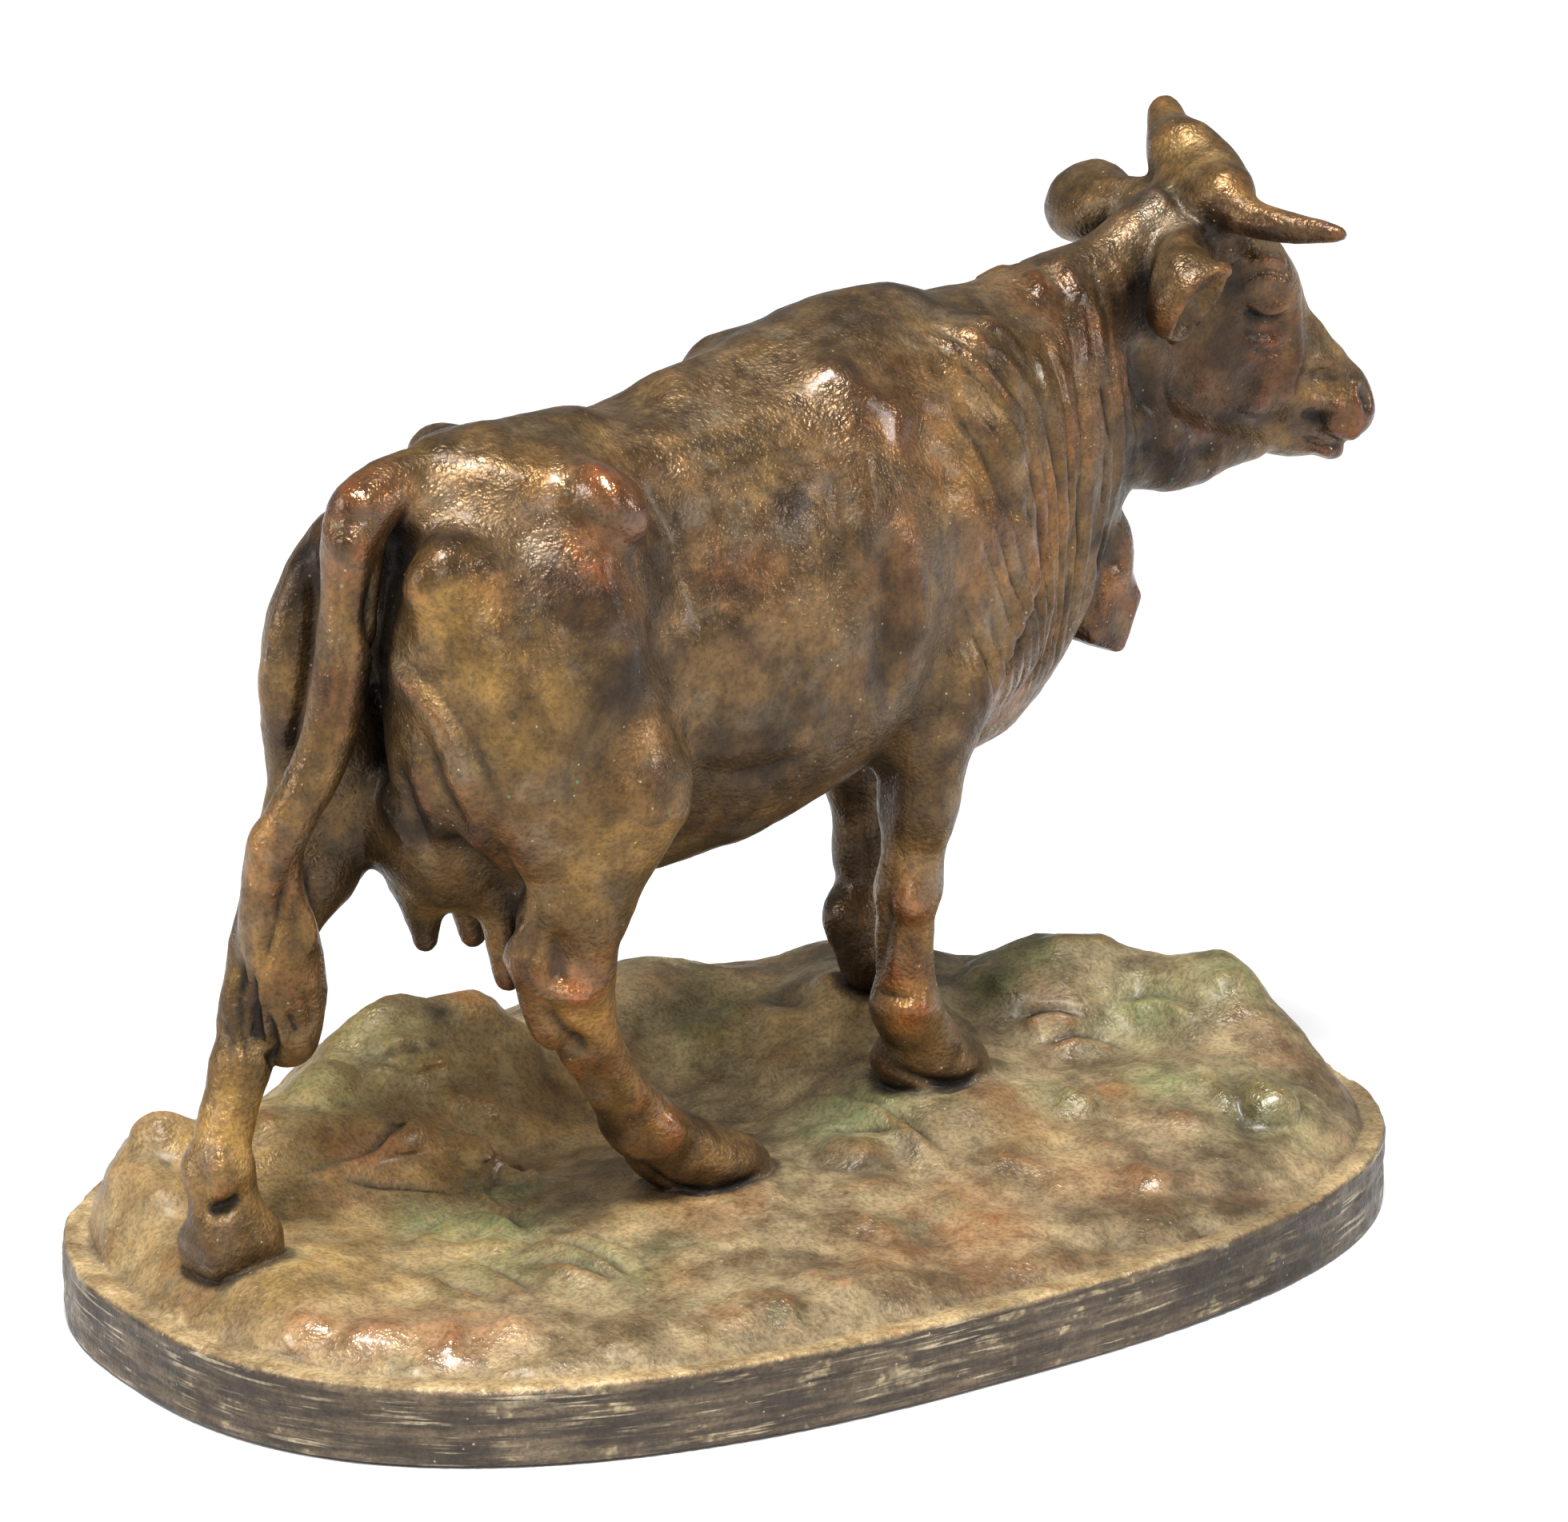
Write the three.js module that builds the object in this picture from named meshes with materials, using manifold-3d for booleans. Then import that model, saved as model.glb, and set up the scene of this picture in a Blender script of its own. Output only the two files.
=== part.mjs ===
// A standing cow with a neck bell on an oval base with rough ground.
// Millimetres, +Z up. Origin: centre of the base, on its underside.
// +X runs along the base towards the head, +Y to the animal's left.
import * as THREE from 'three';
import { mergeVertices } from 'three/addons/utils/BufferGeometryUtils.js';
import Module from 'manifold-3d';

// ---- driving dimensions -------------------------------------------------
const BASE_LENGTH = 500;        // oval base, along X
const BASE_WIDTH = 329.4;       // along Y
const BASE_POWER = 2.52;        // 2 is an ellipse, larger is squarer
const RIM_HEIGHT = 27.3;        // upright side of the base
const LEDGE = 9;                // flat ledge between the rim and the ground
const GROUND_SWELL = 8;         // least rise of the ground over the ledge
const BASE_SIDES = 112;         // facets round the base
const TURN = 7;                 // the animal stands turned on the base, degrees
const SHIFT_Y = -12;            // and a little towards its right
const HEAD_AT = [206.5, -14.5, 371.5];   // poll
const HEAD_TURN = -14;          // degrees, towards the animal's right
const HEAD_DROP = -43.5;        // slope of the face
const HEAD_TILT = 13;           // left horn higher than the right
const CELL = 5;                 // sampling step of the modelled form
const FACETS = 8600;            // facets kept on the modelled form
const COLOUR = 0x6b4f37;        // bronze-brown patina

// ---- small vector helpers ----------------------------------------------
const rad = (a) => (a * Math.PI) / 180;
const mul = (A, B) => A.map((r) => [0, 1, 2].map((j) => r[0] * B[0][j] + r[1] * B[1][j] + r[2] * B[2][j]));
const app = (A, p) => A.map((r) => r[0] * p[0] + r[1] * p[1] + r[2] * p[2]);
const plus = (a, b) => a.map((v, i) => v + b[i]);
// columns are the local axes: turned about Z, raised, then rolled
function axes([turn, raise, roll]) {
  const [a, b, c] = [turn, raise, roll].map(rad);
  const Z = [[Math.cos(a), -Math.sin(a), 0], [Math.sin(a), Math.cos(a), 0], [0, 0, 1]];
  const Y = [[Math.cos(b), 0, -Math.sin(b)], [0, 1, 0], [Math.sin(b), 0, Math.cos(b)]];
  const X = [[1, 0, 0], [0, Math.cos(c), -Math.sin(c)], [0, Math.sin(c), Math.cos(c)]];
  return mul(mul(Z, Y), X);
}

// ---- the modelled form is a list of masses blended into one another -----
const masses = [];
let T = [[1, 0, 0], [0, 1, 0], [0, 0, 1]];
let O = [0, 0, 0];
const at = (p) => plus(app(T, p), O);
const bodyAxes = axes([TURN, 0, 0]);
function body_frame() { T = bodyAxes; O = [0, SHIFT_Y, 0]; }
function head_frame() { T = mul(bodyAxes, axes([HEAD_TURN, HEAD_DROP, HEAD_TILT])); O = plus(app(bodyAxes, HEAD_AT), [0, SHIFT_Y, 0]); }
const local = (R, c, p) => { const x = p[0] - c[0], y = p[1] - c[1], z = p[2] - c[2]; return [R[0][0] * x + R[1][0] * y + R[2][0] * z, R[0][1] * x + R[1][1] * y + R[2][1] * z, R[0][2] * x + R[1][2] * y + R[2][2] * z]; };

function ellipsoid(c, r, rot, blend, sign) {
  const C = at(c), R = mul(T, axes(rot));
  const ext = R.map((row) => Math.hypot(row[0] * r[0], row[1] * r[1], row[2] * r[2]));
  masses.push({ blend, sign, lo: C.map((v, i) => v - ext[i]), hi: C.map((v, i) => v + ext[i]),
    f(p) {
      const q = local(R, C, p);
      const k0 = Math.hypot(q[0] / r[0], q[1] / r[1], q[2] / r[2]);
      const k1 = Math.hypot(q[0] / r[0] ** 2, q[1] / r[1] ** 2, q[2] / r[2] ** 2);
      return (k0 * (k0 - 1)) / Math.max(k1, 1e-6);
    } });
}
const blob = (c, r, rot, blend) => ellipsoid(c, r, rot, blend, 1);
const hollow = (c, r, rot, blend) => ellipsoid(c, r, rot, blend, -1);
// a tapering rounded limb; squeeze > 1 makes it narrower across the local Y axis
function flat_limb(a, b, ra, rb, blend, squeeze) {
  const A = at(a), B = at(b), u = [T[0][1], T[1][1], T[2][1]];
  const ba = [B[0] - A[0], B[1] - A[1], B[2] - A[2]];
  const l2 = Math.max(ba[0] ** 2 + ba[1] ** 2 + ba[2] ** 2, 1e-9), m = Math.max(ra, rb);
  masses.push({ blend, sign: 1, lo: A.map((v, i) => Math.min(v, B[i]) - m), hi: A.map((v, i) => Math.max(v, B[i]) + m),
    f(p) {
      const x = p[0] - A[0], y = p[1] - A[1], z = p[2] - A[2];
      const h = Math.min(Math.max((x * ba[0] + y * ba[1] + z * ba[2]) / l2, 0), 1);
      const w = [x - h * ba[0], y - h * ba[1], z - h * ba[2]];
      if (squeeze !== 1) { const s = (w[0] * u[0] + w[1] * u[1] + w[2] * u[2]) * (squeeze - 1); w[0] += s * u[0]; w[1] += s * u[1]; w[2] += s * u[2]; }
      return Math.hypot(w[0], w[1], w[2]) - (ra + (rb - ra) * h);
    } });
}
const limb = (a, b, ra, rb, blend) => flat_limb(a, b, ra, rb, blend, 1);
const spline = (p0, p1, p2, p3, t) => 0.5 * (2 * p1 + (p2 - p0) * t + (2 * p0 - 5 * p1 + 4 * p2 - p3) * t * t + (3 * p1 - p0 - 3 * p2 + p3) * t ** 3);
// a smooth run of limbs through the given points
function cord(pts, radii, blend, inner, squeeze) {
  const rows = pts.map((p, i) => [...p, radii[i]]), out = [], n = rows.length;
  for (let i = 0; i < n - 1; i++) for (let j = 0; j < 4; j++) {
    const [a, b, c, d] = [rows[Math.max(i - 1, 0)], rows[i], rows[i + 1], rows[Math.min(i + 2, n - 1)]];
    out.push([0, 1, 2, 3].map((k) => spline(a[k], b[k], c[k], d[k], j / 4)));
  }
  out.push(rows[n - 1]);
  for (let i = 0; i < out.length - 1; i++) {
    const [a, b] = [out[i], out[i + 1]];
    flat_limb(a.slice(0, 3), b.slice(0, 3), a[3], b[3], i === 0 ? blend : inner > 1 ? inner : Math.min(blend, a[3] * 0.6), squeeze);
  }
}
// a block with rounded edges
function block(c, half, rot, round, blend) {
  const C = at(c), R = mul(T, axes(rot)), h = half.map((v) => v - round);
  const ext = R.map((row) => Math.abs(row[0]) * half[0] + Math.abs(row[1]) * half[1] + Math.abs(row[2]) * half[2]);
  masses.push({ blend, sign: 1, lo: C.map((v, i) => v - ext[i]), hi: C.map((v, i) => v + ext[i]),
    f(p) {
      const q = local(R, C, p).map((v, i) => Math.abs(v) - h[i]);
      return Math.hypot(Math.max(q[0], 0), Math.max(q[1], 0), Math.max(q[2], 0)) + Math.min(Math.max(...q), 0) - round;
    } });
}
// the trunk: sections along the local X axis, smoothly joined
function trunk(sections, power, blend) {
  const n = sections.length, x0 = sections[0][0], x1 = sections[n - 1][0], steps = 400, table = [];
  const slope = (i, k) => {
    if (i === 0) return (sections[1][k] - sections[0][k]) / (sections[1][0] - sections[0][0]);
    if (i === n - 1) return (sections[i][k] - sections[i - 1][k]) / (sections[i][0] - sections[i - 1][0]);
    const h0 = sections[i][0] - sections[i - 1][0], h1 = sections[i + 1][0] - sections[i][0];
    return ((sections[i][k] - sections[i - 1][k]) / h0 * h1 + (sections[i + 1][k] - sections[i][k]) / h1 * h0) / (h0 + h1);
  };
  for (let s = 0; s <= steps; s++) {
    const x = x0 + ((x1 - x0) * s) / steps;
    let i = 0; while (i < n - 2 && x > sections[i + 1][0]) i++;
    const h = sections[i + 1][0] - sections[i][0], t = (x - sections[i][0]) / h;
    table.push([1, 2, 3, 4, 5].map((k) => (2 * t ** 3 - 3 * t * t + 1) * sections[i][k] + (t ** 3 - 2 * t * t + t) * h * slope(i, k)
      + (3 * t * t - 2 * t ** 3) * sections[i + 1][k] + (t ** 3 - t * t) * h * slope(i + 1, k)));
  }
  const R = T, C = O;
  masses.push({ blend, sign: 1, lo: null, hi: null,
    f(p) {
      const q = local(R, C, p), x = Math.min(Math.max(q[0], x0), x1), s = ((x - x0) / (x1 - x0)) * steps;
      const i = Math.min(Math.floor(s), steps - 1), t = s - i;
      const [top, low, w, mid, yc] = table[i].map((v, k) => v + (table[i + 1][k] - v) * t);
      const y = q[1] - yc, dz = q[2] - mid, h = dz > 0 ? top - mid : mid - low;
      const g = (Math.abs(y / w) ** power + Math.abs(dz / h) ** power) ** (1 / power);
      const m = Math.min(w, h), r = Math.hypot(y, dz);
      let d = Math.max(g > 1e-3 ? r * (1 - 1 / g) : -m, -m);
      const e = Math.abs(q[0] - x);
      if (e > 0) d = Math.hypot(Math.max(d, 0), e);
      return d;
    } });
}

body_frame();
// Trunk and neck as one run of upright sections:
// place along the animal, top, underside, half width, height of the widest point, sideways shift
trunk([[-160, 297, 234, 24, 270, 0], [-142, 310, 210, 35, 275, 0], [-110, 316, 184, 43, 274, 0],
  [-80, 315.5, 163, 50, 256, 0], [-50, 319.5, 157.5, 58, 240, 0], [-20, 325.5, 163, 63, 236, 0],
  [10, 335.5, 172, 63, 241, 0], [40, 341, 181, 56, 250, 0], [70, 339, 168, 50, 258, 0],
  [98, 338, 170, 43, 265, 0], [120, 341, 182, 36, 270, -1], [138, 346, 202, 30, 280, -3],
  [154, 350, 232, 21.5, 298, -6], [168, 357, 255, 17, 316, -9], [182, 362, 286, 13, 330, -11]], 2.2, 12);
limb([-140, 0, 309], [-85, 0, 310], 8, 8, 16);                    // sacrum
limb([-40, 0, 316], [60, 0, 331], 8, 10, 16);                     // spine to the withers
for (const s of [-1, 1]) {
  blob([-103, s * 43, 296], [12, 11, 10], [0, 0, 0], 10);           // hip bone
  limb([-106, s * 40, 299], [-130, s * 16, 305], 7, 7, 12);       // ridge from the hip bone to the sacrum
  blob([-160, s * 24, 278], [13, 10, 12], [0, 20, 0], 11);         // pin bone
  blob([62, s * 34, 276], [24, 14, 60], [0, -14, 0], 16);          // shoulder blade
  blob([69, s * 34, 225], [30, 14, 28], [0, 20, 0], 12);           // point of the shoulder
  blob([40, s * 34, 206], [22, 15, 26], [0, 0, 0], 10);            // upper arm
  hollow([-72, s * 74, 288], [26, 22, 27], [0, 0, 0], 20);         // flank hollow
}
// Thighs
blob([-119, -36, 229], [41, 24, 61], [0, -8, 0], 14);
blob([-148, -28, 240], [23, 17, 46], [0, 0, 0], 12);
blob([-157, -12, 232], [14, 17, 44], [0, 0, 0], 10);             // inner side of the near thigh
blob([-138, 37, 230], [42, 19, 62], [0, 8, 0], 14);
blob([-167.5, 33, 218], [21.5, 15, 57], [0, 6, 0], 12);
// Right hind leg, stepping forward
limb([-104, -41, 198], [-117, -39, 164], 27, 17.5, 12);              // gaskin
limb([-117, -39, 164], [-119, -37, 140], 17, 13.5, 7);
limb([-126, -38, 178], [-135, -36, 146], 8, 6.5, 6);                // tendon to the point of the hock
limb([-135, -36, 143], [-126, -35, 122], 7, 7.5, 6);
limb([-116, -37, 140], [-110, -34, 113], 13, 10.5, 6);
limb([-110, -34, 113], [-87, -29, 80], 10.3, 9.8, 4);                // cannon
blob([-82, -28, 75], [13.5, 12, 12], [0, -40, 0], 5);              // fetlock
limb([-79, -28, 71], [-61, -26, 60], 11, 12.5, 5);                  // pastern
blob([-52, -25, 53], [31, 15.5, 13.5], [-6, -18, 0], 4);               // hoof
// Left hind leg, behind
limb([-155, 36, 200], [-174, 34, 170], 20, 14.5, 12);
limb([-174, 34, 170], [-191, 32, 143], 14, 11, 7);
limb([-180, 35, 190], [-199, 33, 150], 9, 7, 6);
limb([-198, 32, 148], [-206, 30, 125], 7, 7.5, 6);
limb([-195, 31, 140], [-208.5, 28, 110], 11, 9.5, 6);
limb([-208.5, 28, 110], [-218, 26, 84], 9.5, 9.5, 5);
blob([-220, 26, 76], [12.5, 12, 11], [0, 0, 0], 5);
limb([-219, 26, 74], [-216, 25, 52], 10.5, 14.5, 4);
block([-216, 25, 49.5], [15.5, 12, 8], [-4, 6, 0], 5, 5);                 // square hoof
// Right foreleg
limb([47, -37, 208], [43.5, -34, 165], 20, 14, 12);             // forearm
limb([43.5, -34, 165], [41.5, -32, 134], 13.4, 10.6, 6);
blob([41, -32, 135], [11.5, 11, 12], [0, 0, 0], 5);                  // knee
limb([40.5, -31, 130], [42, -30, 100], 10.2, 10.2, 4);
blob([42.5, -30, 89], [13.5, 12.5, 12], [0, -20, 0], 5);
limb([45, -29, 84], [54, -27, 72], 11.5, 13, 5);
blob([60, -25, 62.5], [26, 15.5, 14.5], [-4, -16, 0], 4);
// Left foreleg
limb([67, 37, 205], [73, 31, 160], 20, 12, 12);
limb([73, 31, 160], [80, 30, 124], 12, 10.3, 6);
blob([78, 30, 128], [12, 12, 13], [0, 0, 0], 7);
limb([78, 29, 124], [72, 28, 96], 10, 10, 6);
blob([71, 28, 104], [12, 12, 11], [0, 0, 0], 6);
blob([84, 26, 84], [20, 13, 12], [0, -12, 0], 5);
// Brisket
blob([94, 0, 204], [23, 24, 26], [0, 0, 0], 12);
blob([100, -4, 189], [12, 13, 8.5], [0, 20, 0], 4);
blob([121, -5, 201], [9.5, 12, 11], [0, 30, 0], 5);
blob([136, -5, 214], [8, 9, 12], [0, 30, 0], 6);
// Udder and teats
blob([-121, 2, 182], [37, 27, 30], [0, 8, 0], 12);
blob([-140, 3, 186], [24, 24, 26], [0, 0, 0], 10);
blob([-76, 0, 172], [28, 25, 14], [0, 0, 0], 14);
for (const [x, y, low] of [[-127, -13, 132], [-144, 10, 144.5], [-122, 12, 141], [-108, -13, 140]]) {
  limb([x - 1, y, 163], [x + 1, y, low], 10, 4.6, 5);
}
// Tail: root, dock and switch
blob([-148, 0, 300], [20, 12, 11], [0, -10, 0], 12);
cord([[-140, 0, 306], [-155, 0, 306], [-168, 0, 302], [-176, 0, 293], [-177.5, 1, 281], [-178.5, 2, 267],
  [-181, 4, 243], [-185, 7, 221], [-193, 12, 202], [-200, 17, 186]],
  [9, 9.5, 10.5, 10.5, 10, 9.3, 9.2, 8.8, 8, 7.9], 6, 2, 1);
cord([[-200, 17, 186], [-199, 20, 170], [-196, 21, 152], [-193.5, 21, 134], [-194, 20, 118]],
  [8, 10, 13.4, 13.2, 9.5], 4, 2, 1);
// Throat, strap loop and bell
cord([[171, -10, 276], [193, -13, 268.5], [214, -16, 267.5], [233, -17, 265]], [17, 13, 8.5, 5.5], 10, 1, 1.35);
cord([[156, -9, 248], [163, -10, 239], [165, -10, 229]], [7, 6.5, 6.5], 4, 1, 1);
limb([152, -8, 238], [150, -8, 214], 9, 10, 6);
block([159, -8, 210.5], [11.3, 10.5, 13], [0, -24, 0], 4, 3);
blob([163, -8, 222], [11.5, 10.5, 9], [0, -24, 0], 3);
hollow([142, -31, 238], [7, 8, 12], [0, 8, 0], 2.5);
// Head, in a frame of its own: first axis down the face, second to its left, third out of the face
head_frame();
blob([28, 0, -28], [38, 23, 27], [0, 0, 0], 14);                   // skull
blob([30, 0, -12], [34, 20, 9], [0, 0, 0], 8);                     // forehead
limb([4, -17, -7], [-1, 17, -5], 10, 10.5, 10);                   // poll
cord([[6, -16, -3], [5, 0, 0], [-1, 17, 1]], [7, 8, 7.5], 8, 1, 1);
flat_limb([50, 0, -27], [104, 0, -26], 18, 13.5, 10, 1.1);          // bridge of the nose
for (const s of [-1, 1]) {
  blob([41, s * 17.5, -19], [17, 8.5, 12.5], [0, 0, 0], 9);              // eye
  blob([50, s * 13, -45], [33, 12, 27], [0, 14, 0], 8);            // cheek
  blob([36, s * 15, -50], [22, 10.5, 20], [0, 0, 0], 7);           // jaw muscle
  blob([90, s * 7, -40], [20, 7.5, 10], [0, 8, 0], 6);             // lips
}
cord([[38, 0, -62], [66, 0, -60], [92, 0, -53], [110, 0, -45]], [13, 12, 9, 7], 9, 1, 1);
blob([111, 0, -27], [15, 15.5, 13.5], [0, 4, 0], 5);               // muzzle
blob([115, 0, -41.5], [12.5, 10.5, 6], [0, 8, 0], 4);               // lower lip
cord([[3, -17, -6], [10, -30, -4.5], [18.5, -45, 4], [26, -57, 13]], [9.5, 7.2, 5.2, 2.3], 6, 2, 1);     // right horn
cord([[-2, 17, -3], [-3, 28, -1], [-4, 38, 2], [-4, 46, 4.5]], [10.5, 7.2, 5.6, 4.3], 6, 1, 1);           // left horn
limb([5, -18, -28], [1, -42, -37], 10, 12, 6);
limb([4, 20, -26], [1, 34, -34], 10, 10, 6);
blob([4, -48, -43], [12.5, 12.5, 16], [-46, 0, 13.5], 5);                 // right ear
limb([3.5, -48, -37], [4.5, -52.5, -26], 10, 3.6, 5);                 // its upper corner
limb([6, -46, -44], [15, -43, -55], 9, 3, 5);                 // its lower corner
hollow([13, -60, -40], [16, 12, 17.5], [-46, 0, 13.5], 1.2);
blob([0, 46, -39], [12, 21, 16.5], [0, 0, -14], 5);                // left ear
hollow([10, 53, -41], [9, 14, 10], [-25, 0, -14], 2.5);
body_frame();

// ---- ground: low mounds on the base, each at X, Y with two radii and a height
const MOUNDS = [
  [-217, -12, 55, 55, 12],
  [-47, -43, 80, 60, 12],
  [66, -29, 60, 55, 27],
  [78, 38, 50, 50, 43],
  [-95, 85, 46, 34, 50],
  [-212, 70, 36, 38, 35],
  [-150, 60, 60, 50, 30],
  [25, 105, 75, 48, 37.5],
  [110, 80, 60, 50, 36],
  [158, 30, 44, 45, 41],
  [208, -16, 44, 50, 38],
  [150, -60, 70, 50, 18],
  [186, 22, 34, 40, 31],
  [-60, 84, 32, 28, 44],
];
const oval = (x, y, inset) => ((Math.abs(x) / (BASE_LENGTH / 2 - inset)) ** BASE_POWER + (Math.abs(y) / (BASE_WIDTH / 2 - inset)) ** BASE_POWER) ** (1 / BASE_POWER);
function groundHeight(x, y) {
  const e = 1 - (1 - Math.min(Math.max((1 - oval(x, y, LEDGE)) / 0.13, 0), 1)) ** 2.4;
  let h = 0;
  for (const [mx, my, rx, ry, rise] of MOUNDS) h += (rise * Math.exp(-(((x - mx) / rx) ** 2) - ((y - my) / ry) ** 2)) ** 3;
  return RIM_HEIGHT - 2 + e * (GROUND_SWELL + Math.cbrt(h));
}
const GROUND_FLOOR = 8;
function ground(p) {
  const inside = Math.hypot(p[0], p[1]) * (1 - 1 / Math.max(oval(p[0], p[1], 0), 1e-3));
  return Math.max((p[2] - groundHeight(p[0], p[1])) * 0.85, inside + LEDGE - 1, GROUND_FLOOR - p[2]);
}

// ---- field of the whole modelled form ----------------------------------
function fieldIn(lo, hi) {
  const near = masses.filter((m) => !m.lo || m.lo.every((v, i) => v - m.blend - 4 <= hi[i] && m.hi[i] + m.blend + 4 >= lo[i]));
  return (p) => {
    let d = 1e3;
    for (const m of near) {
      const e = m.f(p), k = m.blend;
      if (m.sign > 0) { const h = Math.max(k - Math.abs(d - e), 0) / k; d = Math.min(d, e) - h * h * k * 0.25; }
      else { const h = Math.max(k - Math.abs(d + e), 0) / k; d = Math.max(d, -e) + h * h * k * 0.25; }
    }
    const e = ground(p), k = 3, h = Math.max(k - Math.abs(d - e), 0) / k;
    return Math.min(d, e) - h * h * k * 0.25;
  };
}

// ---- closed surface of the field, by cutting each cell into six tetrahedra
function surface(lo, hi, step) {
  const n = lo.map((v, i) => Math.ceil((hi[i] - v) / step) + 1);
  const D = new Float32Array(n[0] * n[1] * n[2]);
  const id = (i, j, k) => (i * n[1] + j) * n[2] + k;
  const B = 6;
  for (let a = 0; a < n[0]; a += B) for (let b = 0; b < n[1]; b += B) for (let c = 0; c < n[2]; c += B) {
    const bl = [a, b, c].map((v, i) => lo[i] + v * step), bh = bl.map((v) => v + B * step);
    const f = fieldIn(bl, bh);
    const mid = bl.map((v, i) => (v + bh[i]) / 2), dm = f(mid), far = Math.abs(dm) > B * step * 1.5;
    for (let i = a; i < Math.min(a + B, n[0]); i++) for (let j = b; j < Math.min(b + B, n[1]); j++) for (let k = c; k < Math.min(c + B, n[2]); k++) {
      let d = far ? dm : f([lo[0] + i * step, lo[1] + j * step, lo[2] + k * step]);
      if (Math.abs(d) < 0.04 * step) d = d < 0 ? -0.04 * step : 0.04 * step;
      D[id(i, j, k)] = d;
    }
  }
  const verts = [], faces = [], known = new Map();
  const off = [[0, 0, 0], [1, 0, 0], [1, 1, 0], [0, 1, 0], [0, 0, 1], [1, 0, 1], [1, 1, 1], [0, 1, 1]];
  const tets = [[0, 5, 1, 6], [0, 1, 2, 6], [0, 2, 3, 6], [0, 3, 7, 6], [0, 7, 4, 6], [0, 4, 5, 6]];
  const total = D.length;
  const cut = (a, b) => {
    const key = a < b ? a * total + b : b * total + a;
    let v = known.get(key);
    if (v === undefined) {
      const pos = (q) => [Math.floor(q / (n[1] * n[2])), Math.floor(q / n[2]) % n[1], q % n[2]];
      const A = pos(a), C = pos(b), t = D[a] / (D[a] - D[b]);
      v = verts.length; known.set(key, v);
      verts.push(A.map((w, i) => lo[i] + (w + (C[i] - w) * t) * step));
    }
    return v;
  };
  // winding is settled by the side that is inside
  const put = (a, b, c, inside) => {
    const [A, C, E] = [verts[a], verts[b], verts[c]];
    const u = C.map((v, i) => v - A[i]), w = E.map((v, i) => v - A[i]), q = inside.map((v, i) => v - A[i]);
    const s = (u[1] * w[2] - u[2] * w[1]) * q[0] + (u[2] * w[0] - u[0] * w[2]) * q[1] + (u[0] * w[1] - u[1] * w[0]) * q[2];
    faces.push(s > 0 ? [a, c, b] : [a, b, c]);
  };
  for (let i = 0; i < n[0] - 1; i++) for (let j = 0; j < n[1] - 1; j++) for (let k = 0; k < n[2] - 1; k++) {
    const ids = off.map((o) => id(i + o[0], j + o[1], k + o[2]));
    let s = 0; for (const q of ids) if (D[q] < 0) s++;
    if (s === 0 || s === 8) continue;
    for (const t of tets) {
      const q = t.map((v) => ids[v]), pos = t.map((v) => off[v].map((w, m) => lo[m] + ([i, j, k][m] + w) * step));
      const inn = [0, 1, 2, 3].filter((v) => D[q[v]] < 0), out = [0, 1, 2, 3].filter((v) => D[q[v]] >= 0);
      if (inn.length === 1) put(...out.map((v) => cut(q[inn[0]], q[v])), pos[inn[0]]);
      else if (inn.length === 3) {
        const [a, b, c] = inn.map((v) => cut(q[v], q[out[0]]));
        put(a, b, c, pos[inn[0]]);
      } else if (inn.length === 2) {
        const [a, b, c, d] = [cut(q[inn[0]], q[out[0]]), cut(q[inn[0]], q[out[1]]), cut(q[inn[1]], q[out[1]]), cut(q[inn[1]], q[out[0]])];
        put(a, b, c, pos[inn[0]]); put(a, c, d, pos[inn[1]]);
      }
    }
  }
  return { verts, faces };
}

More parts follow.
